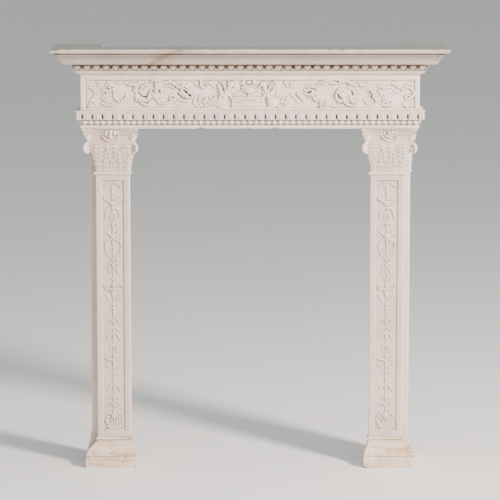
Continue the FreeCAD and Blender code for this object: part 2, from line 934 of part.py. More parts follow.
def main():
    make_shelf()
    make_bed_moulding()
    make_frieze()
    make_architrave()
    for side_name, side in SIDES:
        make_capital(side_name, side)
        make_pilaster(side_name, side)
        make_base(side_name, side)
        make_jamb_return(side_name, side)
    doc.recompute()
    failed = [
        thing.Name for thing in doc.Objects if {"Invalid", "Error"} & set(thing.State)
    ]
    if failed:
        raise RuntimeError(f"failed objects: {failed}")
    for thing in nodes:
        check(thing)
    os.makedirs("parts", exist_ok=True)
    for thing in nodes:
        thing.Shape.exportStep(f"parts/{thing.Label}.step")
        box = thing.Shape.BoundBox
        print(f"{thing.Label:28s} {box.XMin:8.1f} {box.XMax:8.1f} {box.YMin:7.1f} {box.YMax:7.1f}"
              f" {box.ZMin:7.1f} {box.ZMax:7.1f}")


main()
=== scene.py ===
import logging
import math
from dataclasses import dataclass, field, replace
from enum import Enum
from typing import Callable, Dict, List, Optional, Sequence, Tuple

import bpy
import numpy as np
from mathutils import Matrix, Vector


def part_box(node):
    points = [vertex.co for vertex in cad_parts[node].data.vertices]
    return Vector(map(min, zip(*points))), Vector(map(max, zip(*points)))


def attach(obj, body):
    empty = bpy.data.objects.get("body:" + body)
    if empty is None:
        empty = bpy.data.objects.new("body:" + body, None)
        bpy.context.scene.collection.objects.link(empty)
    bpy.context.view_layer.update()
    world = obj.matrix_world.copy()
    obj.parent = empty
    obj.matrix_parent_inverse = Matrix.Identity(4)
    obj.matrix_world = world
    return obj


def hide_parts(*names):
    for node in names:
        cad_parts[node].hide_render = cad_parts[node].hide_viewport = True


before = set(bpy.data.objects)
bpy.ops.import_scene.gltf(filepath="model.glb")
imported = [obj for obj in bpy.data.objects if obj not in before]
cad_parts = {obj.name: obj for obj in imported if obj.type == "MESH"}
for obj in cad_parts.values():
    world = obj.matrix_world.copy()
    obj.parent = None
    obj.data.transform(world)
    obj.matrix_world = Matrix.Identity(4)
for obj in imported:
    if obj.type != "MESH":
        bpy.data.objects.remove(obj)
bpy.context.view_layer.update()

# A carved marble mantel, dressed around its solids.
#
# Carving is worked in millimetres and becomes mesh in metres. Flat carved faces are relief
# panels: a grid whose heights are raised by strokes, leaves and flowers. Mouldings are
# blocks whose three faces each follow a profile. What repeats along a moulding is laid out
# by geometry nodes.

log = logging.getLogger("mantel")

MM = 0.001
Array = np.ndarray
Point = Tuple[float, float]
Place = Tuple[float, float, float]
Tree = bpy.types.NodeTree
Socket = bpy.types.NodeSocket

# Plan measures in millimetres that several stones share. Y gets less towards the room.
WALL = 160.0
BREAST = 12.0
COURSE_FACE = -57.0
COURSE_HALF = 622.0
RETURN_INNER = 545.0
RETURN_OUTER = 595.0

# Edges sharper than these stay sharp, in degrees.
MOULDING_EDGE = 38.0
TILE_EDGE = 50.0
LEAF_EDGE = 60.0
FLOWER_EDGE = 70.0
RELIEF_EDGE = 80.0


class Side(Enum):
    """The two legs and ends of the mantel."""

    LEFT = -1
    RIGHT = 1

    @property
    def word(self) -> str:
        """The side's name as the solids use it."""
        return self.name.lower()


class Slot(Enum):
    """The record's material slots."""

    CARVED = "carved_marble"
    POLISHED = "polished_marble"
    STAINED = "stained_marble"
    SAWN = "sawn_marble"


# ---------------------------------------------------------------- noise


def lattice(points: Array, seed: int) -> Array:
    """Gives each whole-number lattice point a repeatable value from 0 to 1.

    Args:
        points: Integer lattice coordinates, one row each.
        seed: Chooses the pattern.

    Returns:
        One value per row.
    """
    mixed = points[:, 0] * 374761393 + points[:, 1] * 668265263
    mixed = mixed + points[:, 2] * 2147483647 + seed * 144665
    mixed = (mixed ^ (mixed >> 13)) * 1274126177
    return ((mixed ^ (mixed >> 16)) & 0xFFFF) / 65535.0


def smooth_noise(places: Array, size_mm: float, seed: int) -> Array:
    """Smooth value noise in space.

    Args:
        places: Positions in millimetres, one row each.
        size_mm: Distance between lattice points.
        seed: Chooses the pattern.

    Returns:
        One value per row, from -1 to 1.
    """
    scaled = places / size_mm
    cell = np.floor(scaled).astype(np.int64)
    part = scaled - cell
    part = part * part * (3 - 2 * part)
    total = np.zeros(len(places))
    for corner in range(8):
        step = np.array([corner & 1, (corner >> 1) & 1, (corner >> 2) & 1])
        weight = np.prod(np.where(step == 1, part, 1 - part), axis=1)
        total += weight * lattice(cell + step, seed)
    return total * 2 - 1


# ---------------------------------------------------------------- meshes


@dataclass
class Shell:
    """A mesh being built: corners in millimetres, faces that index them, and for each corner
    how much deeper (up to 0.5) or prouder (down to -0.5) it lies than what is round it."""

    points: Array
    faces: List[Sequence[int]]
    sunk: Optional[Array] = None

    def moved(self, across: float, ahead: float, up: float) -> "Shell":
        """A copy moved by millimetres along X, Y and Z."""
        return replace(self, points=self.points + np.array([across, ahead, up]))

    def turned(self, degrees: float) -> "Shell":
        """A copy turned about the vertical."""
        angle = math.radians(degrees)
        cos, sin = math.cos(angle), math.sin(angle)
        turn = np.array([[cos, -sin, 0], [sin, cos, 0], [0, 0, 1]])
        return replace(self, points=self.points @ turn.T)

    def mirrored(self) -> "Shell":
        """A copy mirrored left to right, with its faces still outwards."""
        flipped = [tuple(reversed(face)) for face in self.faces]
        return replace(self, points=self.points * np.array([-1, 1, 1]), faces=flipped)

    def on(self, side: Side) -> "Shell":
        """The shell as it is on the right, or mirrored on the left."""
        return self if side is Side.RIGHT else self.mirrored()

    def depths(self) -> Array:
        """How deep each corner lies, 0 where that isn't known."""
        return np.zeros(len(self.points)) if self.sunk is None else self.sunk


def joined(shells: Sequence[Shell]) -> Shell:
    """Joins shells into one."""
    faces: List[Sequence[int]] = []
    shift = 0
    for shell in shells:
        faces += [tuple(index + shift for index in face) for face in shell.faces]
        shift += len(shell.points)
    points = np.vstack([shell.points for shell in shells])
    return Shell(points, faces, np.concatenate([shell.depths() for shell in shells]))


def grid_faces(rows: int, columns: int, start: int = 0) -> List[Tuple[int, ...]]:
    """Faces of a grid of points stored row by row.

    Args:
        rows: Number of rows.
        columns: Number of points in a row.
        start: Index of the grid's first point.

    Returns:
        Quads that wind from a point to the next in its row, then the next row.
    """
    index = np.arange(rows * columns).reshape(rows, columns) + start
    quads = np.stack([index[:-1, :-1], index[:-1, 1:], index[1:, 1:], index[1:, :-1]], axis=-1)
    return [tuple(quad) for quad in quads.reshape(-1, 4).tolist()]


def slab_from_grid(front: Array, back: object, sunk: Array) -> Shell:
    """A closed slab behind a front grid.

    Args:
        front: Rows by columns by 3 points, rows going up and columns to the right,
            seen from the front.
        back: Y of the back, one value or one for each point: only its edge is used.
        sunk: How deep each point of the front lies, from -0.5 to 0.5.

    Returns:
        The slab, with the front's outline joined to the back's.
    """
    rows, columns = front.shape[:2]
    faces = grid_faces(rows, columns)
    edge = np.concatenate(
        [
            np.arange(columns),
            np.arange(1, rows) * columns + columns - 1,
            np.arange(columns - 2, -1, -1) + (rows - 1) * columns,
            np.arange(rows - 2, 0, -1) * columns,
        ]
    )
    behind = front.copy()
    behind[..., 1] = back
    shift = rows * columns
    count = len(edge)
    for index in range(count):
        following = (index + 1) % count
        faces.append((int(edge[following]), int(edge[index]), shift + index, shift + following))
    faces.append(tuple(shift + index for index in range(count - 1, -1, -1)))
    points = np.vstack([front.reshape(-1, 3), behind.reshape(-1, 3)[edge]])
    return Shell(points, faces, np.concatenate([sunk.ravel(), np.zeros(count)]))


# How strongly the bend of a surface counts as a hollow or a crest.
HOLLOW_GAIN = 1.6


def hollows(points: Array, mesh: bpy.types.Mesh, rounds: int = 3) -> Array:
    """How far each corner lies in a hollow, from 0 on a crest to 1 in a recess.

    Args:
        points: Corner positions in metres.
        mesh: The mesh they belong to.
        rounds: How often the result is averaged with its neighbours.

    Returns:
        One value per corner, 0.5 where the face is flat.
    """
    pairs = np.empty(len(mesh.edges) * 2, dtype=np.int64)
    mesh.edges.foreach_get("vertices", pairs)
    first, second = pairs.reshape(-1, 2).T
    normals = np.empty(len(points) * 3)
    mesh.vertex_normals.foreach_get("vector", normals)
    normals = normals.reshape(-1, 3)
    along = points[second] - points[first]
    length = np.maximum(np.linalg.norm(along, axis=1), 1e-7)
    along = along / length[:, None]
    count = np.bincount(first, minlength=len(points)) + np.bincount(second, minlength=len(points))
    rise = np.bincount(first, (along * normals[first]).sum(1), len(points))
    rise -= np.bincount(second, (along * normals[second]).sum(1), len(points))
    value = rise / np.maximum(count, 1)
    for _ in range(rounds):
        total = np.bincount(first, value[second], len(points))
        total += np.bincount(second, value[first], len(points))
        value = 0.5 * value + 0.5 * total / np.maximum(count, 1)
    return np.clip(0.5 + value * HOLLOW_GAIN, 0.0, 1.0)


def store(mesh: bpy.types.Mesh, name: str, values: Array) -> None:
    """Stores a value for each corner of a mesh."""
    mesh.attributes.new(name, "FLOAT", "POINT").data.foreach_set("value", values)


def mesh_of(name: str, shell: Shell, smooth_angle: float) -> bpy.types.Mesh:
    """Turns a shell into a mesh in metres that keeps how deep its corners lie."""
    mesh = bpy.data.meshes.new(name)
    mesh.from_pydata((shell.points * MM).tolist(), [], shell.faces)
    mesh.polygons.foreach_set("use_smooth", [True] * len(mesh.polygons))
    mesh.set_sharp_from_angle(angle=math.radians(smooth_angle))
    store(mesh, "sunk", shell.depths())
    return mesh


def placed(name: str, data: bpy.types.ID) -> bpy.types.Object:
    """Puts a mesh, a light or a camera in the scene as an object at the origin."""
    thing = bpy.data.objects.new(name, data)
    bpy.context.scene.collection.objects.link(thing)
    return thing


def piece(
    name: str,
    shell: Shell,
    finish: "Marble",
    nodes: Sequence[str] = (),
    smooth_angle: float = MOULDING_EDGE,
) -> bpy.types.Object:
    """Makes a shell a piece of the mantel, dressed and riding on it.

    Args:
        name: The piece's name.
        shell: Its mesh in millimetres.
        finish: Its marble.
        nodes: The solids it stands for.
        smooth_angle: Edges sharper than this stay sharp, in degrees.

    Returns:
        The new object.
    """
    return finished(name, mesh_of(name, shell, smooth_angle), finish, nodes)


def finished(
    name: str, mesh: bpy.types.Mesh, finish: "Marble", nodes: Sequence[str] = ()
) -> bpy.types.Object:
    """Gives a mesh its marble and its place in the model.

    Args:
        name: The piece's name.
        mesh: Its mesh in metres.
        finish: Its marble.
        nodes: The solids it stands for.

    Returns:
        The new object.
    """
    mesh.update()
    points = np.empty(len(mesh.vertices) * 3)
    mesh.vertices.foreach_get("co", points)
    sunk = np.empty(len(mesh.vertices))
    mesh.attributes["sunk"].data.foreach_get("value", sunk)
    # The hollow value drives painted shade in recesses and a painted highlight on crests.
    store(mesh, "hollow", np.clip(hollows(points.reshape(-1, 3), mesh) + sunk, 0, 1))
    mesh.materials.clear()
    mesh.materials.append(finish.material())
    thing = placed(name, mesh)
    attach(thing, "root")
    if nodes:
        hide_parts(*nodes)
    log.info("%s: %d faces in %s", name, len(mesh.polygons), finish.name)
    return thing


# ---------------------------------------------------------------- marbles


def linear(colour: str) -> Tuple[float, float, float, float]:
    """Turns an sRGB hex colour into the linear values a shader takes."""
    parts = [int(colour[start : start + 2], 16) / 255 for start in (1, 3, 5)]
    values = [c / 12.92 if c <= 0.04045 else ((c + 0.055) / 1.055) ** 2.4 for c in parts]
    return (values[0], values[1], values[2], 1.0)


def add(
    tree: Tree,
    kind: str,
    settings: Optional[Dict[str, object]] = None,
    inputs: Optional[Dict[object, object]] = None,
) -> bpy.types.Node:
    """Adds a node with its settings and inputs.

    Args:
        tree: The node tree.
        kind: The node's type name.
        settings: Properties of the node.
        inputs: Values or output sockets for its inputs, by name or number.

    Returns:
        The new node.
    """
    node = tree.nodes.new(kind)
    for name, value in (settings or {}).items():
        setattr(node, name, value)
    for key, value in (inputs or {}).items():
        if isinstance(value, Socket):
            tree.links.new(value, node.inputs[key])
        else:
            node.inputs[key].default_value = value
    return node


def ramp(tree: Tree, value: Socket, low: float, high: float) -> Socket:
    """Spreads the stretch of a value from low to high over 0 to 1."""
    stretch = {0: value, 1: low, 2: high, 3: 0.0, 4: 1.0}
    return add(tree, "ShaderNodeMapRange", {"clamp": True}, stretch).outputs[0]


def calc(tree: Tree, operation: str, *values: object) -> Socket:
    """Works a value out of others with one maths node."""
    inputs = dict(enumerate(values))
    return add(tree, "ShaderNodeMath", {"operation": operation}, inputs).outputs[0]


def times(tree: Tree, first: Socket, second: object) -> Socket:
    """Multiplies a value by another value or by a number."""
    return calc(tree, "MULTIPLY", first, second)


def split(tree: Tree, vector: Socket) -> Sequence[Socket]:
    """The X, Y and Z of a vector."""
    return add(tree, "ShaderNodeSeparateXYZ", {}, {0: vector}).outputs


def tint(tree: Tree, base: object, colour: str, share: object) -> Socket:
    """Lays a colour over another by a share from 0 to 1."""
    inputs = {0: share, 6: base, 7: linear(colour)}
    return add(tree, "ShaderNodeMix", {"data_type": "RGBA"}, inputs).outputs[2]


def noise(
    tree: Tree, place: Socket, size_mm: float, detail: float = 3.0, distortion: float = 0.0
) -> Socket:
    """Noise whose blotches are about a size in millimetres."""
    inputs = {"Vector": place, "Scale": 1 / (size_mm * MM), "Detail": detail}
    inputs["Distortion"] = distortion
    return add(tree, "ShaderNodeTexNoise", {}, inputs).outputs[0]


def blank_material(name: str) -> Tuple[bpy.types.Material, Socket]:
    """A new material with an empty tree, and the place on the object that it colours."""
    material = bpy.data.materials.new(name)
    material.use_nodes = True
    material.node_tree.nodes.clear()
    return material, add(material.node_tree, "ShaderNodeTexCoord").outputs["Object"]


def coat(material: bpy.types.Material, inputs: Dict[object, object]) -> None:
    """Ends a material's tree with a shader that has these inputs."""
    shader = add(material.node_tree, "ShaderNodeBsdfPrincipled", {}, inputs)
    add(material.node_tree, "ShaderNodeOutputMaterial", {}, {"Surface": shader.outputs[0]})


@dataclass(frozen=True)
class Blotches:
    """Patches of noise: their size, detail and raggedness, and the noise from none to full."""

    size_mm: float
    detail: float
    distortion: float
    low: float
    high: float

    def share(self, tree: Tree, place: Socket) -> Socket:
        """How far the patches cover a place, from 0 to 1."""
        value = noise(tree, place, self.size_mm, self.detail, self.distortion)
        return ramp(tree, value, self.low, self.high)


CLOUDS = Blotches(38.0, 5.0, 0.6, 0.5, 0.75)
CREAM = Blotches(85.0, 3.0, 0.4, 0.52, 0.68)
STAINS = Blotches(70.0, 5.0, 0.8, 0.46, 0.72)
UNEVEN = Blotches(60.0, 3.0, 0.0, 0.2, 0.7)
STREAKS = Blotches(13.0, 3.0, 0.0, 0.54, 0.68)
BROWNING = Blotches(25.0, 4.0, 0.0, 0.3, 0.6)

# The vein's slope through the slab, and where it is at the floor's level, in metres.
VEIN_SLOPE = -1.9
VEIN_FOOT = 3.21


@dataclass(frozen=True)
class Marble:
    """White statuary marble, carved or rubbed smooth and long handled.

    The stone is nearly white with a pink-grey bloom, mottled softly at a hand's width. The hollows
    are painted darker, as dust and old wax and as painted shade, and crests are painted paler, as
    rubbing and as a painted highlight.
    """

    name: str
    slot: Slot
    light: str = "#f1ddd4"
    shade: str = "#e4cec5"
    cloud: str = "#cbbcb6"
    cream: str = "#e6d6bd"
    hair: str = "#b9aaa2"
    dirt: str = "#74665f"
    crest: str = "#faf0ea"
    dirt_and_shade_share: float = 0.9
    crest_share: float = 0.7
    roughness: float = 0.48
    refraction: float = 1.5
    mottle_mm: float = 140.0
    stain: str = "#c9a878"
    stain_share: float = 0.0
    streak: str = "#b08a5c"
    streak_share: float = 0.0
    vein: str = "#8c6a4e"
    vein_share: float = 0.0
    end: str = "#a98a70"
    end_share: float = 0.0
    dust: str = "#777a72"
    top_tone_share: float = 0.0

    def material(self) -> bpy.types.Material:
        """The finish's material, built when it is first asked for."""
        known = bpy.data.materials.get(self.name)
        if known:
            return known
        material, place = blank_material(self.name)
        tree = material.node_tree
        colour = self.handled_colour(tree, place, self.stone_colour(tree, place))
        inputs = {"Base Color": colour, "Roughness": self.roughness, "IOR": self.refraction}
        inputs["Normal"] = self.grain(tree, place)
        coat(material, inputs)
        return material

    def stone_colour(self, tree: Tree, place: Socket) -> Socket:
        """The quarried stone: two close whites, clouds of grey and cream, and hair veins."""
        broad = Blotches(self.mottle_mm, 4.0, 0.0, 0.35, 0.65).share(tree, place)
        colour = tint(tree, linear(self.light), self.shade, broad)
        colour = tint(tree, colour, self.cloud, times(tree, CLOUDS.share(tree, place), 0.4))
        colour = tint(tree, colour, self.cream, times(tree, CREAM.share(tree, place), 0.45))
        wander = noise(tree, place, 260.0, 6.0, 1.4)
        near = calc(tree, "ABSOLUTE", calc(tree, "SUBTRACT", wander, 0.5))
        return tint(tree, colour, self.hair, times(tree, ramp(tree, near, 0.012, 0.0), 0.4))

    def handled_colour(self, tree: Tree, place: Socket, colour: Socket) -> Socket:
        """Age, use and painted light: stains, a brown vein, dirt and painted shade in hollows,
        crests rubbed pale with a painted highlight, and darker level tops.

        Dirt and painted shade are kept off the faces that look at the wall, and level tops are
        painted a darker grey-green.
        """
        if self.stain_share:
            blotch = times(tree, STAINS.share(tree, place), self.stain_share)
            colour = tint(tree, colour, self.stain, blotch)
        if self.streak_share:
            colour = tint(tree, colour, self.streak, self.level_streaks(tree, place))
        if self.vein_share:
            colour = tint(tree, colour, self.vein, self.slanting_vein(tree, place))
        if self.end_share:
            colour = tint(tree, colour, self.end, self.browned_end(tree, place))
        # Painted shade: recesses are tinted with the dirt colour, both as dirt and as the shade
        # that falls in them.
        hollow = add(tree, "ShaderNodeAttribute", {"attribute_name": "hollow"}).outputs["Fac"]
        depth = times(tree, ramp(tree, hollow, 0.54, 0.8), self.dirt_and_shade_share)
        kept = calc(tree, "MULTIPLY_ADD", UNEVEN.share(tree, place), 0.5, 0.5)
        facing = split(tree, add(tree, "ShaderNodeNewGeometry").outputs["Normal"])
        depth = times(tree, depth, ramp(tree, facing[1], 0.97, 0.8))
        colour = tint(tree, colour, self.dirt, times(tree, depth, kept))
        # Painted highlight: crests are tinted paler, as rubbed wear and as the light they catch.
        rubbed_and_highlit = times(tree, ramp(tree, hollow, 0.47, 0.2), self.crest_share)
        colour = tint(tree, colour, self.crest, rubbed_and_highlit)
        # Level, upward-facing tops are tinted a darker grey-green.
        if self.top_tone_share:
            level_top_share = times(tree, ramp(tree, facing[2], 0.8, 0.97), self.top_tone_share)
            colour = tint(tree, colour, self.dust, level_top_share)
        return colour

    def level_streaks(self, tree: Tree, place: Socket) -> Socket:
        """Long level stains, as damp leaves them on a foot."""
        settings = {"operation": "MULTIPLY"}
        drawn_out = {0: place, 1: (0.12, 0.12, 1.0)}
        flat = add(tree, "ShaderNodeVectorMath", settings, drawn_out).outputs[0]
        return times(tree, STREAKS.share(tree, flat), self.streak_share)

    def browned_end(self, tree: Tree, place: Socket) -> Socket:
        """The brown patch on the shelf's right end."""
        near = ramp(tree, split(tree, place)[0], 0.66, 0.72)
        return times(tree, times(tree, near, BROWNING.share(tree, place)), self.end_share)

    def slanting_vein(self, tree: Tree, place: Socket) -> Socket:
        """A brown vein that runs slantwise through the slab, left of the middle."""
        parts = split(tree, place)
        slope = calc(tree, "MULTIPLY_ADD", parts[2], VEIN_SLOPE, VEIN_FOOT)
        line = calc(tree, "ADD", parts[0], slope)
        wander = times(tree, noise(tree, place, 55.0, 4.0), 0.07)
        near = calc(tree, "ABSOLUTE", calc(tree, "ADD", line, wander))
        haze = times(tree, ramp(tree, near, 0.1, 0.02), 0.3)
        core = calc(tree, "MAXIMUM", ramp(tree, near, 0.03, 0.004), haze)
        return times(tree, core, self.vein_share)

    def grain(self, tree: Tree, place: Socket) -> Socket:
        """Rasp marks and fine pitting, drawn coarse enough to catch the light."""
        pits = noise(tree, place, 7.0, 4.0)
        bump = {"Strength": 0.25, "Distance": 1.2 * MM, "Height": pits}
        return add(tree, "ShaderNodeBump", {}, bump).outputs[0]


CARVED = Marble("carved_white_marble", Slot.CARVED)
FIELD = Marble(
    "frieze_white_marble", Slot.CARVED, light="#fdeae1", shade="#f3ddd3", dirt="#5f544f"
)
DRILLED = Marble(
    "drilled_white_marble", Slot.CARVED, dirt="#6a605a", dirt_and_shade_share=0.85, crest_share=0.6
)
# A darker copy of the carved marble for the egg row: painted shade from the shelf above.
SHADED_EGGS = Marble(
    "egg_row_marble",
    Slot.CARVED,
    light="#dfcbc0",
    shade="#d0bbb0",
    dirt="#7b716b",
    dirt_and_shade_share=0.8,
    crest_share=0.3,
)
LEAFY = Marble(
    "leaf_carved_marble",
    Slot.CARVED,
    light="#e4cdc2",
    shade="#d4beb3",
    dirt="#6f615a",
    dirt_and_shade_share=0.8,
    stain="#dcb59c",
    stain_share=0.4,
)
PANEL = Marble(
    "carved_panel_marble",
    Slot.CARVED,
    light="#e9d2ca",
    shade="#ddc4bc",
    dirt="#75665f",
    dirt_and_shade_share=0.95,
    mottle_mm=210.0,
)
SAWN = Marble("rubbed_side_marble", Slot.SAWN, light="#e2d3c9", shade="#d4c4b9", dirt_and_shade_share=0.5)
SHELF = Marble(
    "polished_shelf_marble",
    Slot.POLISHED,
    light="#ccbcb0",
    shade="#bdac9f",
    dirt="#5f5048",
    crest="#ddd0c4",
    crest_share=0.15,
    roughness=0.3,
    vein_share=0.7,
    end_share=0.6,
    dust="#6d7068",
    top_tone_share=0.9,
)
BASE = Marble(
    "worn_plinth_marble",
    Slot.STAINED,
    light="#f8e3d2",
    shade="#e6cdb9",
    dirt="#6b563f",
    crest_share=0.45,
    stain_share=0.6,
    streak_share=0.7,
    mottle_mm=80.0,
)


# ---------------------------------------------------------------- relief carving


def curve_through(points: Sequence[Point], steps: int = 10) -> Array:
    """A smooth line through points.

    Args:
        points: The points, in millimetres.
        steps: Stretches drawn between two points.

    Returns:
        Points along the line, one row each.
    """
    knots = np.array(points, dtype=float)
    if len(knots) == 2:
        share = np.linspace(0, 1, steps + 1)[:, None]
        return knots[0] * (1 - share) + knots[1] * share
    padded = np.vstack([2 * knots[0] - knots[1], knots, 2 * knots[-1] - knots[-2]])
    share = np.linspace(0, 1, steps, endpoint=False)[:, None]
    runs = []
    for index in range(len(knots) - 1):
        a, b, c, d = padded[index : index + 4]
        runs.append(
            0.5
            * (
                2 * b
                + (c - a) * share
                + (2 * a - 5 * b + 4 * c - d) * share**2
                + (3 * b - a - 3 * c + d) * share**3
            )
        )
    return np.vstack(runs + [knots[-1:]])


def spiral(centre: Point, start: float, end: float, radius: float, inner: float) -> List[Point]:
    """Points of a scroll that winds inwards.

    Args:
        centre: Its eye, in millimetres.
        start: The angle where it starts, in degrees anticlockwise from the right.
        end: The angle where it ends; less than start winds clockwise.
        radius: Its radius at the start.
        inner: Its radius at the end.

    Returns:
        Points about 30 degrees apart.
    """
    count = max(4, int(abs(end - start) / 30) + 1)
    points = []
    for index in range(count):
        share = index / (count - 1)
        angle = math.radians(start + (end - start) * share)
        reach = radius * (inner / radius) ** share
        points.append((centre[0] + reach * math.cos(angle), centre[1] + reach * math.sin(angle)))
    return points


class Relief:
    """A flat face that is carved by raising heights on a grid.

    X runs to the right and Z up, both in millimetres from the face's own origin.
    """

    def __init__(self, left: float, right: float, low: float, high: float, pitch: float) -> None:
        """Lays out the grid.

        Args:
            left: The face's left edge.
            right: Its right edge.
            low: Its lower edge.
            high: Its upper edge.
            pitch: The grid's spacing.
        """
        self.x = np.linspace(left, right, int(round((right - left) / pitch)) + 1)
        self.z = np.linspace(low, high, int(round((high - low) / pitch)) + 1)
        self.height = np.zeros((len(self.z), len(self.x)))

    def window(self, low: Point, high: Point) -> Tuple[slice, slice, Array, Array]:
        """The part of the grid between two corners, with its coordinates."""
        columns = slice(*np.searchsorted(self.x, (low[0], high[0])))
        rows = slice(*np.searchsorted(self.z, (low[1], high[1])))
        across, up = np.meshgrid(self.x[columns], self.z[rows])
        return rows, columns, across, up

    def raise_to(self, rows: slice, columns: slice, height: Array) -> None:
        """Raises the grid to a height wherever it is lower."""
        part = self.height[rows, columns]
        np.maximum(part, height, out=part)

    def round_about(self, centre: Point, reach: float) -> Tuple[slice, slice, Array, Array]:
        """The part of the grid round a point, with distances across and up from the point."""
        low = (centre[0] - reach, centre[1] - reach)
        high = (centre[0] + reach, centre[1] + reach)
        rows, columns, across, up = self.window(low, high)
        return rows, columns, across - centre[0], up - centre[1]

    def nearest(self, line: Array, reach: float) -> Tuple[slice, slice, Array, Array]:
        """Measures the grid against a line.

        Args:
            line: The line's points.
            reach: How far to each side the grid is measured.

        Returns:
            The window's rows and columns, and each point's distance from the line and
            share of the way along it.
        """
        rows, columns, across, up = self.window(line.min(0) - reach, line.max(0) + reach)
        best = np.full(across.shape, 1e9)
        share = np.zeros(across.shape)
        count = len(line) - 1
        for index in range(count):
            start, run = line[index], line[index + 1] - line[index]
            length2 = max(float(run @ run), 1e-9)
            part = ((across - start[0]) * run[0] + (up - start[1]) * run[1]) / length2
            part = np.clip(part, 0, 1)
            gap_x = across - start[0] - part * run[0]
            gap_z = up - start[1] - part * run[1]
            gap = np.hypot(gap_x, gap_z)
            nearer = gap < best
            best = np.where(nearer, gap, best)
            share = np.where(nearer, (index + part) / count, share)
        return rows, columns, best, share

    def stroke(
        self,
        points: Sequence[Point],
        width: float,
        height: float,
        tip: float = 0.35,
        foot: float = 1.0,
    ) -> None:
        """Raises a rounded ridge along a line.

        Args:
            points: Points the line passes through.
            width: Its full width at the widest.
            height: Its height.
            tip: The share of the width left at the end.
            foot: The share of the width at the start.
        """
        line = curve_through(points)
        rows, columns, gap, share = self.nearest(line, width)
        half = width / 2 * (foot + (tip - foot) * share**1.3)
        dome = np.sqrt(np.clip(1 - (gap / np.maximum(half, 0.2)) ** 2, 0, 1))
        self.raise_to(rows, columns, height * dome * (0.6 + 0.4 * half / (width / 2)))

    def leaf(
        self,
        points: Sequence[Point],
        width: float,
        height: float,
        lobes: int = 4,
        lift: float = 0.35,
    ) -> None:
        """Raises an acanthus leaf along a bent rib.

        Args:
            points: The rib, from stalk to tip.
            width: The leaf's full width.
            height: Its height at the rib's crest.
            lobes: How many lobes each side has.
            lift: How much higher the tip stands than the stalk.
        """
        line = curve_through(points)
        rows, columns, gap, share = self.nearest(line, width * 0.75)
        swell = np.sin(np.pi * np.clip(share * 0.9 + 0.08, 0, 1)) ** 0.75
        beat = np.abs(np.sin(np.pi * (share * lobes - 0.5 * gap / width)))
        half = width / 2 * swell * (0.62 + 0.38 * beat**0.6)
        inside = np.clip(1 - (gap / np.maximum(half, 0.3)) ** 2, 0, 1)
        body = np.sqrt(inside)
        groove = 1 - 0.42 * np.exp(-((gap / (0.055 * width + 0.5)) ** 2))
        folds = 0.74 + 0.26 * np.sin(np.pi * (share * lobes - 0.9 * gap / width)) ** 2
        rise = 1 - lift + 2 * lift * share
        self.raise_to(rows, columns, height * body * groove * folds * rise)

    def dome(self, centre: Point, wide: float, tall: float, height: float) -> None:
        """Raises an oval dome, measured from its middle to its side and to its top."""
        rows, columns, across, up = self.round_about(centre, max(wide, tall))
        inside = np.clip(1 - (across / wide) ** 2 - (up / tall) ** 2, 0, 1)
        self.raise_to(rows, columns, height * np.sqrt(inside))

    def flower(
        self, centre: Point, radius: float, petals: int, height: float, turn: float = 0
    ) -> None:
        """Raises a rosette, turned by degrees: notched petals round a boss."""
        rows, columns, across, up = self.round_about(centre, radius)
        reach = np.hypot(across, up) / radius
        angle = np.arctan2(up, across) + math.radians(turn)
        lobe = np.abs(np.cos(angle * petals / 2))
        edge = 0.66 + 0.34 * lobe**0.7
        inside = np.clip(1 - (reach / edge) ** 3, 0, 1)
        vein = 1 - 0.25 * np.exp(-((np.abs(np.sin(angle * petals / 2)) / 0.16) ** 2))
        cup = 0.45 + 0.75 * np.clip(reach, 0, 1)
        petal = height * np.sqrt(inside) * cup * vein * (0.55 + 0.45 * lobe)
        boss = height * 1.15 * np.sqrt(np.clip(1 - (reach / 0.26) ** 2, 0, 1))
        self.raise_to(rows, columns, np.maximum(petal, boss))

    def bar(self, low: Point, high: Point, height: float, round_mm: float = 1.5) -> None:
        """Raises a flat block between two corners, with eased edges."""
        rows, columns, across, up = self.window(low, high)
        inset = np.minimum(
            np.minimum(across - low[0], high[0] - across), np.minimum(up - low[1], high[1] - up)
        )
        ease = np.clip(inset / round_mm, 0, 1)
        self.raise_to(rows, columns, height * ease**0.5)

    def sink(self, points: Sequence[Point], width: float, depth: float) -> None:
        """Cuts a groove along a line."""
        line = curve_through(points)
        rows, columns, gap, _ = self.nearest(line, width)
        cut = depth * np.clip(1 - (gap / (width / 2)) ** 2, 0, 1)
        self.height[rows, columns] -= cut

    def frame_border(self, steps: Sequence[Tuple[float, float, float, float, float]]) -> None:
        """Raises the border round a sunk field.

        Args:
            steps: One row each: insets from the left, right, foot and head edges, and the
                height outside them.
        """
        across, up = np.meshgrid(self.x, self.z)
        for left, right, foot, head, height in steps:
            outside = (
                (across < self.x[0] + left)
                | (across > self.x[-1] - right)
                | (up < self.z[0] + foot)
                | (up > self.z[-1] - head)
            )
            self.height[outside] = np.maximum(self.height[outside], height)

    def softened(self, rounds: int = 1) -> None:
        """Wears the carving by averaging each height with its neighbours."""
        for _ in range(rounds):
            padded = np.pad(self.height, 1, mode="edge")
            around = padded[:-2, 1:-1] + padded[2:, 1:-1] + padded[1:-1, :-2] + padded[1:-1, 2:]
            self.height = 0.5 * self.height + 0.125 * around

    def sunk(self, reach: float = 5.5, full: float = 7.0) -> Array:
        """How much deeper each point lies than what is round it.

        Args:
            reach: How far round a point is looked at.
            full: The difference in height that counts as 1.

        Returns:
            A grid of values from -0.5 on crests to 0.5 in recesses.
        """
        span = max(1, int(reach / (self.x[1] - self.x[0])))
        mean = self.height
        for axis in (0, 1, 0, 1):
            padded = np.moveaxis(mean, axis, 0)
            padded = np.pad(padded, ((span + 1, span), (0, 0)), mode="edge")
            total = np.cumsum(padded, axis=0)
            width = 2 * span + 1
            mean = np.moveaxis((total[width:] - total[:-width]) / width, 0, axis)
        return np.clip((mean - self.height) / full, -0.5, 0.5)

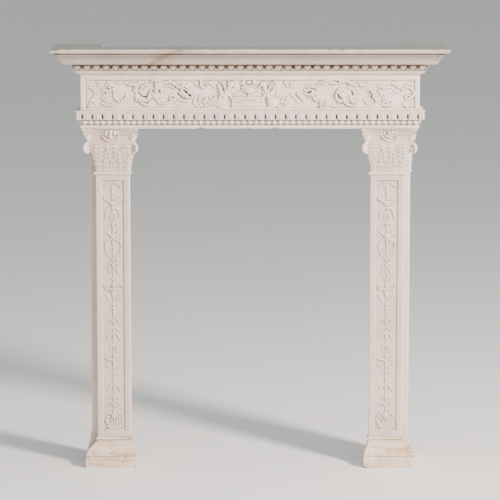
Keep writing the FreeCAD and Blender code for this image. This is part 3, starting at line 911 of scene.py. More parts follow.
    def shell(
        self, face: float, back: float, floor: float, seed: int, full: float = 18.0
    ) -> Shell:
        """Turns the heights into a closed block.

        Args:
            face: Y of the block's border face.
            back: Y of its back.
            floor: Height of the border above the field's floor.
            seed: Chooses the wear.
            full: The difference in height that counts as 1 for the dirt and painted shade in
                hollows.

        Returns:
            The block, with its carved face towards the room.
        """
        across, up = np.meshgrid(self.x, self.z)
        flat = np.stack([across, np.zeros_like(across), up], axis=-1)
        places = flat.reshape(-1, 3)
        wear = smooth_noise(places, 9.0, seed) * 0.25 + smooth_noise(places, 31.0, seed + 1) * 0.35
        edge = np.minimum(
            np.minimum(across - self.x[0], self.x[-1] - across),
            np.minimum(up - self.z[0], self.z[-1] - up),
        )
        rough = 1.6 + 1.4 * smooth_noise(places, 14.0, seed + 2).reshape(across.shape)
        rounding = np.clip(1 - edge / 2.6, 0, 1) ** 2 * rough
        out = self.height - floor + wear.reshape(across.shape) - rounding
        flat[..., 1] = face - out
        # The sunk values feed the painted shade in recesses and the painted highlight on crests.
        return slab_from_grid(flat, back, self.sunk(full=full))


# ---------------------------------------------------------------- moulded blocks


@dataclass(frozen=True)
class Dent:
    """A chip knocked out of a moulding: its place, its reach and its depth, in millimetres."""

    across: float
    ahead: float
    up: float
    reach: float
    depth: float


# A block's measures are its left, right and front planes: outwards is less, more and less.
OUTWARDS = np.array([-1.0, 1.0, -1.0])


def moulded(steps: Sequence[Sequence[float]], pitch: float = 2.5) -> Array:
    """Draws a moulding's profile.

    Args:
        steps: Its corners from the foot up: a level, any number of measures, and last the
            bulge of the stretch above, as a share of half its length.
        pitch: The longest stretch between two points.

    Returns:
        Points along the profile: the level and the measures, one row each.
    """
    rows = []
    for step, following in zip(steps[:-1], steps[1:]):
        start, end = np.array(step[:-1], float), np.array(following[:-1], float)
        length = float(np.abs(end - start).max())
        count = max(1, int(math.ceil(length / pitch)))
        for index in range(count):
            share = index / count
            point = start + (end - start) * share
            swell = step[-1] * length / 2 * 4 * share * (1 - share)
            point[1:] += swell * np.sign(OUTWARDS[: len(point) - 1])
            rows.append(point)
    rows.append(np.array(steps[-1][:-1], float))
    return np.array(rows)


@dataclass
class Block:
    """A closed stone block whose left, front and right faces follow a profile.

    levels holds a row for each level of the profile: Z, and there the X of the left and
    right faces and the Y of the front. The faces meet at mitred corners. Edges are rounded by
    round_mm, chipped by up to chip_mm and worn by wear_mm. notch is the half-width and the
    wall's Y of a recess in the back, and sway shifts the front by level and share along it.
    """

    levels: Array
    back: float
    seed: int
    pitch: float = 6.0
    round_mm: float = 0.7
    chip_mm: float = 2.2
    wear_mm: float = 0.3
    dents: Sequence[Dent] = ()
    notch: Optional[Tuple[float, float]] = None
    sway: Optional[Callable[[Array, Array], Array]] = None

    def profile_normals(self, column: int) -> Tuple[Array, Array, Array]:
        """Where one face's profile looks, and how sharply it turns outwards.

        Args:
            column: 1 for the left face, 2 for the right and 3 for the front.

        Returns:
            At each level: the outwards part and the upwards part of the normal, and the
            sharpness from 0 to 1.
        """
        proud = self.levels[:, column] * OUTWARDS[column - 1]
        runs = np.stack([np.diff(proud), np.diff(self.levels[:, 0])], axis=1)
        runs = np.vstack([[1.0, 0.0], runs, [-1.0, 0.0]])
        runs /= np.maximum(np.linalg.norm(runs, axis=1), 1e-9)[:, None]
        before, after = runs[:-1], runs[1:]
        turn = before[:, 0] * after[:, 1] - before[:, 1] * after[:, 0]
        normal = np.stack([before[:, 1] + after[:, 1], -before[:, 0] - after[:, 0]], axis=1)
        normal /= np.maximum(np.linalg.norm(normal, axis=1), 1e-9)[:, None]
        return normal[:, 0], normal[:, 1], np.clip(turn, 0, 1)

    def shell(self) -> Shell:
        """The block as a closed mesh in millimetres."""
        level, left, right, front = self.levels.T
        depth = self.back - float(front.min())
        width = float((right - left).max())
        side_count = max(2, int(depth / self.pitch))
        front_count = max(4, int(width / self.pitch))
        side = np.linspace(0, 1, side_count + 1)
        ahead = np.linspace(0, 1, front_count + 1)
        back = np.full_like(front, self.back)
        across = np.hstack(
            [
                np.repeat(left[:, None], side_count, 1),
                left[:, None] + (right - left)[:, None] * ahead,
                np.repeat(right[:, None], side_count, 1),
            ]
        )
        along = np.hstack(
            [
                back[:, None] + (front - back)[:, None] * side[:-1],
                np.repeat(front[:, None], front_count + 1, 1),
                front[:, None] + (back - front)[:, None] * side[1:],
            ]
        )
        up = np.repeat(level[:, None], across.shape[1], 1)
        faces = [1] * side_count + [3] * (front_count + 1) + [2] * side_count
        ways = {1: (-1.0, 0.0), 3: (0.0, -1.0), 2: (1.0, 0.0)}
        normals = {column: self.profile_normals(column) for column in ways}
        out_x = np.array([ways[column][0] for column in faces])
        out_y = np.array([ways[column][1] for column in faces])
        corners = (side_count, side_count + front_count)
        out_x[list(corners)] = (-0.707, 0.707)
        out_y[list(corners)] = -0.707
        outwards = np.stack([normals[column][0] for column in faces], axis=1)
        upwards = np.stack([normals[column][1] for column in faces], axis=1)
        sharp = np.stack([normals[column][2] for column in faces], axis=1)
        sharp[:, list(corners)] = np.maximum(sharp[:, list(corners)], 0.8)
        places = np.stack([across, along, up], axis=-1).reshape(-1, 3)
        rough = smooth_noise(places, 16.0, self.seed).reshape(up.shape)
        fine = smooth_noise(places, 5.0, self.seed + 1).reshape(up.shape)
        broad = smooth_noise(places, 45.0, self.seed + 2).reshape(up.shape)
        chips = np.clip(rough + 0.4 * fine - 0.25, 0, 1) * self.chip_mm
        inward = sharp * (self.round_mm + chips) + self.wear_mm * (0.5 + 0.5 * broad)
        for dent in self.dents:
            gap = np.sqrt(
                (across - dent.across) ** 2 + (along - dent.ahead) ** 2 + (up - dent.up) ** 2
            )
            bite = np.clip(1 - gap / dent.reach, 0, 1) ** 0.6
            inward += dent.depth * bite * (1 + 0.5 * fine)
        across = across - out_x * outwards * inward
        along = along - out_y * outwards * inward
        up = up - upwards * inward
        if self.sway is not None:
            share = np.clip((np.arange(across.shape[1]) - side_count) / front_count, 0, 1)
            along = along + self.sway(up, np.repeat(share[None, :], len(level), 0))
        along = np.minimum(along, self.back)
        return self.closed(np.stack([across, along, up], axis=-1))

    def closed(self, grid: Array) -> Shell:
        """Closes the block's foot, head, back and notch."""
        rows, columns = grid.shape[:2]
        points = [grid.reshape(-1, 3)]
        faces = grid_faces(rows, columns)
        foot = list(range(columns))
        head = [index + (rows - 1) * columns for index in range(columns)]
        left = [row * columns for row in range(rows)]
        right = [row * columns + columns - 1 for row in range(rows)]
        if self.notch is None:
            faces += [tuple(reversed(foot)), tuple(head)]
            faces.append(tuple(left[::-1] + right))
            return Shell(np.vstack(points), faces)
        half, wall = self.notch
        plan = [(half, self.back), (half, wall), (-half, wall), (-half, self.back)]
        low, high = self.levels[0, 0], self.levels[-1, 0]
        points.append(np.array([(x, y, low) for x, y in plan] + [(x, y, high) for x, y in plan]))
        first = rows * columns
        lower = [first + index for index in range(4)]
        upper = [first + 4 + index for index in range(4)]
        faces += [tuple(reversed(foot + lower)), tuple(head + upper)]
        for index in range(3):
            faces.append((lower[index], lower[index + 1], upper[index + 1], upper[index]))
        faces.append(tuple(right + [upper[0], lower[0]]))
        faces.append(tuple(left[::-1] + [lower[3], upper[3]]))
        return Shell(np.vstack(points), faces)


def tube(points: Array, radii: Array, sides: int = 10) -> Shell:
    """A closed round stem that follows points.

    Args:
        points: Its middle line in millimetres, one row each.
        radii: Its radius at each point.
        sides: Corners of its section.

    Returns:
        The stem with both ends closed.
    """
    runs = np.gradient(points, axis=0)
    runs /= np.linalg.norm(runs, axis=1)[:, None]
    side = np.cross(runs[0], [0.31, 0.17, 0.93])
    rings = []
    for point, run, radius in zip(points, runs, radii):
        side = side - run * float(side @ run)
        side = side / np.linalg.norm(side)
        other = np.cross(run, side)
        for index in range(sides):
            angle = 2 * math.pi * index / sides
            rings.append(point + radius * (side * math.cos(angle) + other * math.sin(angle)))
    faces: List[Sequence[int]] = []
    count = len(points)
    for ring in range(count - 1):
        for index in range(sides):
            following = (index + 1) % sides
            low, high = ring * sides, (ring + 1) * sides
            faces.append((low + index, low + following, high + following, high + index))
    faces.append(tuple(range(sides - 1, -1, -1)))
    faces.append(tuple((count - 1) * sides + index for index in range(sides)))
    return Shell(np.array(rings), faces)


# ---------------------------------------------------------------- rows laid by geometry nodes


def row_tree() -> Tuple[bpy.types.NodeTree, Dict[str, str]]:
    """The node tree that lays copies of a tile along a straight run.

    Returns:
        The tree, and the identifier of each named input.
    """
    tree = bpy.data.node_groups.new("moulding_row", "GeometryNodeTree")
    sockets = {
        "Tile": "NodeSocketGeometry",
        "Start": "NodeSocketVector",
        "Step": "NodeSocketVector",
        "Count": "NodeSocketInt",
        "Turn": "NodeSocketFloat",
        "Wear": "NodeSocketFloat",
        "Seed": "NodeSocketInt",
        "Marble": "NodeSocketMaterial",
    }
    names = {}
    for name, kind in sockets.items():
        socket = tree.interface.new_socket(name, in_out="INPUT", socket_type=kind)
        names[name] = socket.identifier
    tree.interface.new_socket("Row", in_out="OUTPUT", socket_type="NodeSocketGeometry")
    given = add(tree, "NodeGroupInput").outputs
    inputs = {"Count": given["Count"], "Start Location": given["Start"], "Offset": given["Step"]}
    line = add(tree, "GeometryNodeMeshLine", {"mode": "OFFSET"}, inputs).outputs[0]
    inputs = {2: calc(tree, "SUBTRACT", 1.0, given["Wear"]), 3: 1.0, "Seed": given["Seed"]}
    proud = add(tree, "FunctionNodeRandomValue", {"data_type": "FLOAT"}, inputs).outputs[1]
    scale = add(tree, "ShaderNodeCombineXYZ", {}, {0: 1.0, 1: proud, 2: 1.0}).outputs[0]
    turn = add(tree, "ShaderNodeCombineXYZ", {}, {2: given["Turn"]}).outputs[0]
    inputs = {"Points": line, "Instance": given["Tile"], "Rotation": turn, "Scale": scale}
    copies = add(tree, "GeometryNodeInstanceOnPoints", {}, inputs).outputs[0]
    real = add(tree, "GeometryNodeRealizeInstances", {}, {0: copies}).outputs[0]
    inputs = {"Geometry": real, "Material": given["Marble"]}
    dressed = add(tree, "GeometryNodeSetMaterial", {}, inputs).outputs[0]
    add(tree, "NodeGroupOutput", {}, {0: dressed})
    return tree, names


@dataclass
class Row:
    """One straight run of tiles along a moulding.

    wear is the share by which a worn tile may stand out less than a fresh one.
    """

    name: str
    tile: Shell
    start: Place
    step: Place
    count: int
    turn: float
    seed: int
    wear: float = 0.08

    def build(self, tree: bpy.types.NodeTree, names: Dict[str, str], finish: Marble) -> None:
        """Lays the row and makes it a piece.

        Args:
            tree: The row tree.
            names: The identifiers of its inputs.
            finish: The row's marble.
        """
        maker = placed(self.name + "_maker", mesh_of(self.name, self.tile, TILE_EDGE))
        layer = maker.modifiers.new("row", "NODES")
        layer.node_group = tree
        layer[names["Start"]] = [value * MM for value in self.start]
        layer[names["Step"]] = [value * MM for value in self.step]
        layer[names["Count"]] = self.count
        layer[names["Turn"]] = math.radians(self.turn)
        layer[names["Wear"]] = self.wear
        layer[names["Seed"]] = self.seed
        layer[names["Marble"]] = finish.material()
        evaluated = maker.evaluated_get(bpy.context.evaluated_depsgraph_get())
        laid = bpy.data.meshes.new_from_object(evaluated)
        laid.name = self.name
        bpy.data.objects.remove(maker)
        finished(self.name, laid, finish)


def rise(value: Array, start: float, run: object) -> Array:
    """A slope from 0 where a value is at the start to 1 where it is a run farther."""
    return np.clip((value - start) / run, 0, 1)


def fall(value: Array, end: object, run: object) -> Array:
    """A slope that comes down to 0 where a value is at the end, from 1 a run before it."""
    return np.clip((end - value) / run, 0, 1)


def ridge(value: Array, middle: float, width: float) -> Array:
    """A rounded ridge, 1 at its middle."""
    return np.exp(-(((value - middle) / width) ** 2))


def tile_grid(columns: int, rows: int) -> Tuple[Array, Array]:
    """A tile's shares: across from -0.5 to 0.5, and up from 0 to 1."""
    return np.meshgrid(np.linspace(-0.5, 0.5, columns), np.linspace(0, 1, rows))


def egg_tile(pitch: float, tall: float, foot: float, head: float) -> Shell:
    """An egg with a dart each side, parted by drilled hollows, on a rounded band.

    Args:
        pitch: The tile's length along the band.
        tall: Its height.
        foot: How far its lower edge stands out.
        head: How far its upper edge stands out.

    Returns:
        The tile, with its flat back at Y 0 and its face towards -Y.
    """
    egg_wide, egg_tall, egg_proud = 11.5, 14.0, 7.0
    rim_proud, dart_proud, cup_deep = 5.0, 4.6, 4.5
    drill_deep, under_deep, drill_floor = 15.0, 8.0, 19.0
    field_deep = 5.6
    across, up = tile_grid(27, 15)
    x = across * pitch
    band = foot + (head - foot) * np.sin(up * np.pi / 2) ** 0.9
    reach = np.hypot(x / egg_wide, (up - 0.8) * tall / egg_tall)
    egg = egg_proud * np.sqrt(np.clip(1 - reach**2, 0, 1))
    rim = rim_proud * ridge(reach, 1.33, 0.13)
    beside = pitch / 2 - np.abs(x)
    dart = dart_proud * fall(beside, 1.0 + 1.4 * up, 1.0 + 1.4 * up) * fall(up, 0.55, 0.1)
    cup = cup_deep * ridge(reach, 1.12, 0.12) * fall(up, 0.62, 0.2)
    drilled = np.clip(1.4 - beside / (6.5 * np.maximum(rise(up, 0.36, 0.4), 0.01)), 0, 1)
    drilled *= drill_deep * rise(up, 0.36, 0.08)
    under = under_deep * rise(up, 0.84, 0.1)
    out = band - field_deep + np.maximum(np.maximum(egg, rim), dart) - cup - drilled - under
    front = np.stack([x, -np.maximum(out, drill_floor), up * tall], axis=-1)
    # Drilled holes, the strip under the shelf and the cups round the eggs are marked for dirt and
    # painted shade.
    dirt_and_shade_marks = 0.5 * drilled / 5 + 0.4 * under / 7 + 0.22 * cup / 4.5 - 0.02 * egg
    return slab_from_grid(front, 0.0, np.clip(dirt_and_shade_marks, -0.5, 0.5))


def leaf_tile(pitch: float, tall: float, foot: float, head: float) -> Shell:
    """A deep slot between the halves of two broad water leaves, under a plain edge.

    Args:
        pitch: The tile's length along the band.
        tall: Its height.
        foot: How far its lower edge stands out.
        head: How far its upper edge stands out.

    Returns:
        The tile, with its flat back at Y 0 and its face towards -Y.
    """
    leaf_proud, leaf_inset, slot_deep, slot_floor = 3.4, 3.4, 16.0, 2.0
    across, up = tile_grid(31, 15)
    x = across * pitch
    beside = pitch / 2 - np.abs(x)
    dome = np.clip(1 - (beside / (pitch / 2 - leaf_inset)) ** 2, 0, 1)
    leaf = leaf_proud * np.sqrt(dome)
    leaf += 1.2 * ridge(beside, 0.0, 1.5) - 1.3 * ridge(beside, 6.5, 1.8)
    slot = slot_deep * fall(np.abs(x), 3.0 + 0.8 * up, 0.9)
    slot *= fall(up, 0.68, 0.07) * rise(up, 0.07, 0.05)
    brow = 1.6 * ridge(up, 0.77, 0.06) * (0.6 - 0.4 * np.cos(across * 2 * np.pi))
    fillet = 2.4 * rise(up, 0.87, 0.04)
    band = foot + (head - foot) * up
    out = band - 3.0 + np.maximum(fall(up, 0.7, 0.1) * leaf, 0) + brow + fillet - slot
    front = np.stack([x, -np.clip(out, slot_floor, head), up * tall], axis=-1)
    # The slots are marked for dirt and painted shade.
    return slab_from_grid(front, 0.0, np.clip(slot / 16, 0, 0.5))


def bead_tile(length: float, radius: float) -> Shell:
    """A long bead with a thin neck each side."""
    share = np.linspace(-1, 1, 11)
    swell = np.sqrt(np.clip(1 - (share / 0.86) ** 2, 0, 1))
    radii = np.maximum(radius * swell, radius * 0.3)
    points = np.stack([share * length / 2, np.zeros_like(share), np.zeros_like(share)], axis=1)
    return tube(points, radii, 8)


# ---------------------------------------------------------------- sub-assemblies


def levels_of(node: str) -> Tuple[float, float]:
    """A solid's lowest and highest levels in millimetres."""
    low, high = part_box(node)
    return low[2] / MM, high[2] / MM


def around(steps: Sequence[Place]) -> Array:
    """The levels of a front stone of a course.

    Args:
        steps: Level, how far the moulding stands out there, and the bulge above.

    Returns:
        One row per level, as Block takes them.
    """
    sides = COURSE_HALF
    return moulded(
        [(z, -sides - out, sides + out, COURSE_FACE - out, bulge) for z, out, bulge in steps]
    )


def lay_return(course: str, side: Side, levels: Array, seed: int) -> None:
    """Lays the plain stone that carries a course from its front stone back to the wall.

    Args:
        course: The course's name in the solids.
        side: Which end it is at.
        levels: The profile of the right one.
        seed: Chooses the wear.
    """
    label = f"{course}_return_{side.word}"
    shell = Block(levels, WALL, seed + side.value).shell().on(side)
    piece(label + "_stone", shell, SAWN, [label])


@dataclass
class Courses:
    """The stones above the legs: architrave, frieze, bed moulding and shelf."""

    egg_pitch: float = 35.0
    leaf_pitch: float = 37.3
    bead_pitch: float = 22.5
    bead_radius: float = 8.2
    shelf_steps: List[Place] = field(init=False)
    bed_steps: List[Place] = field(init=False)
    architrave_steps: List[Place] = field(init=False)

    def __post_init__(self) -> None:
        """Works out the courses' profiles from the levels of their solids."""
        self.shelf_foot, shelf_top = levels_of("shelf")
        self.bed_foot, _ = levels_of("bed_moulding_front")
        self.frieze_foot, _ = levels_of("frieze_front")
        self.lintel_foot, _ = levels_of("architrave_front")
        slab = shelf_top - 16
        fascia = slab - 19
        self.shelf_steps = [
            (self.shelf_foot, 59, 0.0),
            (self.shelf_foot + 3, 60, 0.25),
            (self.shelf_foot + 13, 67, -0.3),
            (fascia + 1, 77, 0),
            (fascia + 1, 80, 0),
            (fascia + 4, 80, 0),
            (fascia + 4, 78, -0.5),
            (slab - 4, 90, 0),
            (slab - 4, 85, 0),
            (slab, 85, 0),
            (slab, 99.5, 0),
            (slab + 5, 103, 0.25),
            (shelf_top - 4, 103, 0.3),
            (shelf_top, 100.5, 0),
        ]
        self.egg_foot = self.bed_foot + 16
        self.bed_steps = [
            (self.bed_foot, 3, -0.35),
            (self.egg_foot - 7, 17, 0),
            (self.egg_foot, 18, 0),
            (self.egg_foot, 10, 0),
            (self.shelf_foot - 3, 13, 0),
            (self.shelf_foot, 13, 0),
        ]
        self.bead_foot = self.lintel_foot + 15
        self.leaf_foot = self.bead_foot + 19
        self.architrave_steps = [
            (self.lintel_foot, 0, 0),
            (self.bead_foot - 3, 0, 0),
            (self.bead_foot, -7, 0),
            (self.leaf_foot - 2, -7, 0),
            (self.leaf_foot, 1, 0),
            (self.frieze_foot - 3.5, 1, 0),
            (self.frieze_foot - 3.5, 20, 0),
            (self.frieze_foot, 21, 0),
        ]

    def shelf(self) -> None:
        """The shelf: one slab round the chimney breast."""
        levels = around(self.shelf_steps)
        top = float(levels[-1, 0])
        dents = [
            Dent(-712, -158, top - 2, 26, 3.5),
            Dent(-258, -160, top - 12, 14, 2.5),
            Dent(330, -160, top, 12, 2.0),
            Dent(706, -120, top, 30, 3.0),
        ]
        block = Block(levels, WALL, 11, dents=dents, notch=(RETURN_INNER, BREAST))
        piece("mantel_shelf", block.shell(), SHELF, ["shelf"])

    def course(
        self,
        name: str,
        steps: Sequence[Place],
        seed: int,
        dents: Sequence[Dent] = (),
    ) -> None:
        """A moulded front stone and its two returns.

        Args:
            name: The course's name in the solids.
            steps: Its profile.
            seed: Chooses the wear.
            dents: Chips in the front stone.
        """
        levels = around(steps)
        front = Block(levels, BREAST, seed, dents=dents).shell()
        piece(name + "_moulding", front, CARVED, [name + "_front"])
        levels[:, 1] = RETURN_INNER
        levels[:, 3] = BREAST
        for side in Side:
            lay_return(name, side, levels, seed)

    def row_round(
        self,
        tile: Shell,
        name: str,
        pitch: float,
        out: float,
        level: float,
        seed: int,
    ) -> List[Row]:
        """A row of tiles along the front and along both ends.

        Args:
            tile: The tile, made to stand on a face at Y 0.
            name: The row's name.
            pitch: The length of a tile.
            out: How far the band stands out at the corners.
            level: Z of the tile's foot.
            seed: Chooses the wear.

        Returns:
            The three rows.
        """
        count = int(2 * (COURSE_HALF + out) / pitch)
        start = (-(count - 1) * pitch / 2, COURSE_FACE, level)
        rows = [Row(name + "_front", tile, start, (pitch, 0, 0), count, 0, seed)]
        deep = int((WALL - COURSE_FACE + out - 4) / pitch)
        for side in Side:
            way = side.value
            start = (way * COURSE_HALF, WALL - pitch / 2, level)
            label = f"{name}_{side.word}"
            rows.append(Row(label, tile, start, (0, -pitch, 0), deep, 90 * way, seed + way))
        return rows

    def rows(self) -> None:
        """The eggs, leaves and beads."""
        tree, names = row_tree()
        egg_tall = self.shelf_foot - 4 - self.egg_foot
        leaf_tall = self.frieze_foot - 3 - self.leaf_foot
        eggs = egg_tile(self.egg_pitch, egg_tall, 21, 40)
        leaves = leaf_tile(self.leaf_pitch, leaf_tall, 16, 21)
        beads = bead_tile(self.bead_pitch, self.bead_radius)
        bead_level = (self.bead_foot + self.leaf_foot) / 2
        rows = self.row_round(eggs, "egg_row", self.egg_pitch, 26, self.egg_foot, 31)
        rows += self.row_round(leaves, "leaf_row", self.leaf_pitch, 17, self.leaf_foot, 41)
        rows += self.row_round(beads, "bead_row", self.bead_pitch, -1, bead_level, 51)
        for row in rows:
            row.build(tree, names, SHADED_EGGS if row.tile is eggs else DRILLED)

    def build(self) -> None:
        """Builds the courses from the lintel up."""
        dents = [
            Dent(-180, COURSE_FACE - 2, self.lintel_foot, 15, 5),
            Dent(-10, COURSE_FACE - 2, self.lintel_foot, 11, 4),
            Dent(90, COURSE_FACE - 2, self.lintel_foot, 13, 4),
            Dent(405, COURSE_FACE - 2, self.lintel_foot + 1, 9, 3),
        ]
        self.course("architrave", self.architrave_steps, 21, dents)
        self.course("bed_moulding", self.bed_steps, 25)
        self.rows()
        self.shelf()


@dataclass
class Frieze:
    """The frieze: scrolling acanthus each side of an altar between two winged beasts.

    Carving is placed from the middle of the stone and from its foot.
    """

    pitch: float = 1.45
    floor: float = 5.0
    bold: float = 1.2
    strip_middle: float = 594.0

    def border(self, relief: Relief) -> None:
        """The plain border round the sunk field, and a strip of small leaves at each end."""
        tall = float(relief.z[-1])
        relief.frame_border([(18, 18, 7, 17, self.floor), (14, 14, 5, 14, self.floor + 0.8)])
        for side in Side:
            for index in range(9):
                up = 14 + index * 11.5
                middle = side.value * self.strip_middle
                relief.stroke([(middle - 4, up + 6), (middle, up), (middle + 4, up + 6)], 3.5, 3.4)
        relief.stroke([(-598, tall - 17), (598, tall - 17)], 3.0, self.floor + 1.2, 1.0)
        relief.stroke([(-600, 8), (600, 8)], 3.0, self.floor + 0.6, 1.0)
        relief.sink([(-620, 2), (620, 2)], 7, 5)

    def left_scrolls(self, relief: Relief) -> None:
        """The scrolls from the left end to the beast."""
        relief.stroke([(-592, 14), (-582, 40), (-566, 62), (-540, 72)], 7, 5)
        relief.leaf([(-562, 24), (-574, 38), (-590, 34)], 17, 6, 3)
        relief.leaf([(-566, 60), (-574, 78), (-590, 88)], 15, 5.5, 3)
        relief.leaf([(-562, 84), (-548, 100), (-566, 108)], 13, 5, 3)
        relief.flower((-515, 97), 16, 5, 6.5, 20)
        relief.flower((-531, 48), 16, 6, 6.5)
        relief.leaf([(-546, 80), (-522, 72), (-496, 84)], 13, 7, 4)
        relief.stroke([(-545, 28), (-520, 20), (-494, 28)], 8, 5.5)
        relief.leaf([(-498, 80), (-496, 52), (-478, 30)], 14, 6.5, 4)
        relief.leaf([(-478, 30), (-458, 44), (-452, 62)], 13, 7.5, 3)
        relief.stroke([(-490, 104), (-474, 98), (-462, 106)], 6, 4.5)
        relief.leaf([(-462, 106), (-436, 96), (-404, 100)], 13, 8, 4)
        relief.leaf([(-410, 58), (-420, 82), (-404, 106)], 20, 8, 4)
        relief.leaf([(-402, 62), (-398, 86), (-374, 100)], 16, 8.5, 3)
        relief.leaf([(-418, 62), (-412, 42), (-384, 40)], 20, 8.5, 4)
        relief.leaf([(-394, 34), (-374, 44), (-368, 68)], 16, 9, 3)
        relief.stroke([(-398, 30), (-380, 22), (-366, 30)], 10, 7)
        relief.sink([(-410, 66), (-394, 52), (-380, 52)], 6, 8)
        relief.sink([(-398, 96), (-404, 82)], 5, 6)

    def bell_flower(self, relief: Relief) -> None:
        """A bell flower that hangs mouth up on a curled stem."""
        relief.stroke([(-362, 109), (-345, 112), (-328, 109)], 7, 7.5, 0.7)
        relief.stroke([(-345, 106), (-346, 82)], 9, 7.5, 0.6)
        relief.leaf([(-358, 46), (-366, 60), (-364, 80)], 12, 8, 2)
        relief.leaf([(-332, 46), (-324, 60), (-326, 80)], 12, 8, 2)
        relief.dome((-345, 58), 17, 15, 8.5)
        relief.sink([(-358, 74), (-345, 64), (-332, 74)], 9, 5)
        relief.stroke([(-345, 44), (-328, 26), (-300, 30), (-284, 44)], 7, 5.5, 0.8)
        relief.leaf([(-316, 100), (-290, 106), (-258, 82)], 16, 7, 4)
        relief.leaf([(-318, 86), (-296, 92), (-274, 80)], 11, 5.5, 3)
        relief.stroke(spiral((-282, 47), 200, -160, 14, 4), 7, 6)
        relief.leaf([(-276, 34), (-262, 24), (-244, 30)], 12, 6, 3)

    def left_whorl(self, relief: Relief) -> None:
        """The deep-cut whorl, the foliage below it and the hook before the beast."""
        relief.leaf([(-262, 88), (-238, 84), (-208, 58)], 24, 9, 5)
        relief.leaf([(-262, 70), (-240, 56), (-210, 50)], 22, 10, 4)
        relief.dome((-246, 74), 12, 10, 9)
        relief.sink([(-244, 76), (-232, 68)], 9, 14)
        relief.sink([(-226, 58), (-217, 53)], 9, 13)
        relief.sink([(-264, 64), (-246, 50), (-226, 44)], 5, 7)
        relief.sink([(-240, 86), (-224, 76)], 4, 6)
        relief.stroke([(-262, 40), (-242, 38), (-222, 30)], 8, 5.5)
        for index in range(6):
            foot = -206 + 18 * index
            lift = 8 * math.sin(index * 1.7)
            relief.leaf([(foot, 26), (foot + 4, 40 + lift), (foot + 12, 52 + lift)], 13, 6.5, 3)
            relief.leaf([(foot, 30), (foot + 10, 20), (foot + 16, 12)], 10, 5, 2)
        relief.stroke([(-208, 26), (-170, 34), (-136, 26), (-104, 34)], 7, 6, 0.8)
        relief.stroke([(-180, 112), (-181, 94), (-168, 84), (-157, 94), (-163, 104)], 9, 7)
        relief.leaf([(-156, 106), (-140, 98), (-128, 84)], 12, 5, 3)
        relief.leaf([(-212, 108), (-198, 100), (-190, 86)], 12, 5, 3)

    def beast(self, relief: Relief, side: Side, head: float) -> None:
        """A winged beast that sits facing the altar.

        Args:
            relief: The frieze's relief.
            side: The half it sits in.
            head: How far its muzzle is from the middle.
        """

        def at(points: Sequence[Point]) -> List[Point]:
            return [(side.value * (head + x), z) for x, z in points]

        relief.stroke(at([(34, 22), (30, 50), (14, 82)]), 26, 7.5, 0.6, 0.9)
        relief.dome(at([(44, 30)])[0], 22, 20, 8)
        relief.stroke(at([(14, 84), (10, 94), (4, 98)]), 17, 8.5, 0.7)
        relief.dome(at([(8, 98)])[0], 13, 10, 9.5)
        relief.stroke(at([(4, 96), (-8, 88)]), 9, 8.5, 0.6)
        relief.stroke(at([(14, 106), (22, 114)]), 6, 7, 0.4)
        relief.stroke(at([(18, 62), (4, 44), (2, 20)]), 10, 7, 0.7)
        relief.stroke(at([(2, 18), (-8, 14)]), 7, 6)
        relief.stroke(at([(52, 18), (36, 10), (20, 12)]), 11, 6.5, 0.6)
        for index in range(5):
            feather = [(24, 58 - 2 * index), (40, 72 - 5 * index), (58 - index, 100 - 11 * index)]
            relief.stroke(at(feather), 9, 8)
        relief.stroke(at([(26, 66), (34, 96), (50, 110)]), 8, 8.5, 0.5)
        relief.stroke(at([(60, 24), (78, 36), (92, 22), (104, 30)]), 7, 6)
        for index in range(3):
            foot = 62 + 15 * index
            relief.leaf(at([(foot, 26), (foot + 2, 40), (foot + 10, 52)]), 12, 6, 3)
            relief.leaf(at([(foot, 24), (foot + 6, 14), (foot + 16, 10)]), 10, 5, 2)

    def altar(self, relief: Relief) -> None:
        """The altar in the middle: a stepped foot, a panelled block and an urn with a garland."""
        relief.bar((-72, 8), (64, 14), 6.5)
        relief.bar((-66, 14), (58, 30), 5.5)
        relief.bar((-60, 30), (52, 47), 4.6)
        relief.bar((-66, 46), (58, 51), 6.2)
        relief.bar((-34, 29), (28, 45), 6.4)
        relief.sink([(-28, 37), (22, 37)], 7, 2.5)
        relief.stroke([(-4, 50), (-4, 62)], 15, 6.5, 0.5)
        relief.dome((-4, 76), 24, 13, 8)
        relief.dome((-4, 69), 9, 6, 9.5)
        relief.stroke([(-30, 86), (-4, 90), (22, 86)], 7, 8, 1.0)
        relief.stroke([(-34, 100), (-4, 90), (28, 100)], 6, 6.5, 1.0)
        relief.stroke(spiral((-36, 80), 60, -220, 10, 4), 5, 6)
        relief.stroke(spiral((28, 80), 120, 400, 10, 4), 5, 6)
        relief.flower((15, 105), 9, 5, 7)
        relief.flower((-4, 104), 8, 5, 6.5)
        relief.flower((-23, 105), 8, 5, 6)
        for way in (-1, 1):
            relief.leaf([(way * 58, 52), (way * 52, 64), (way * 40, 70)], 11, 5, 3)

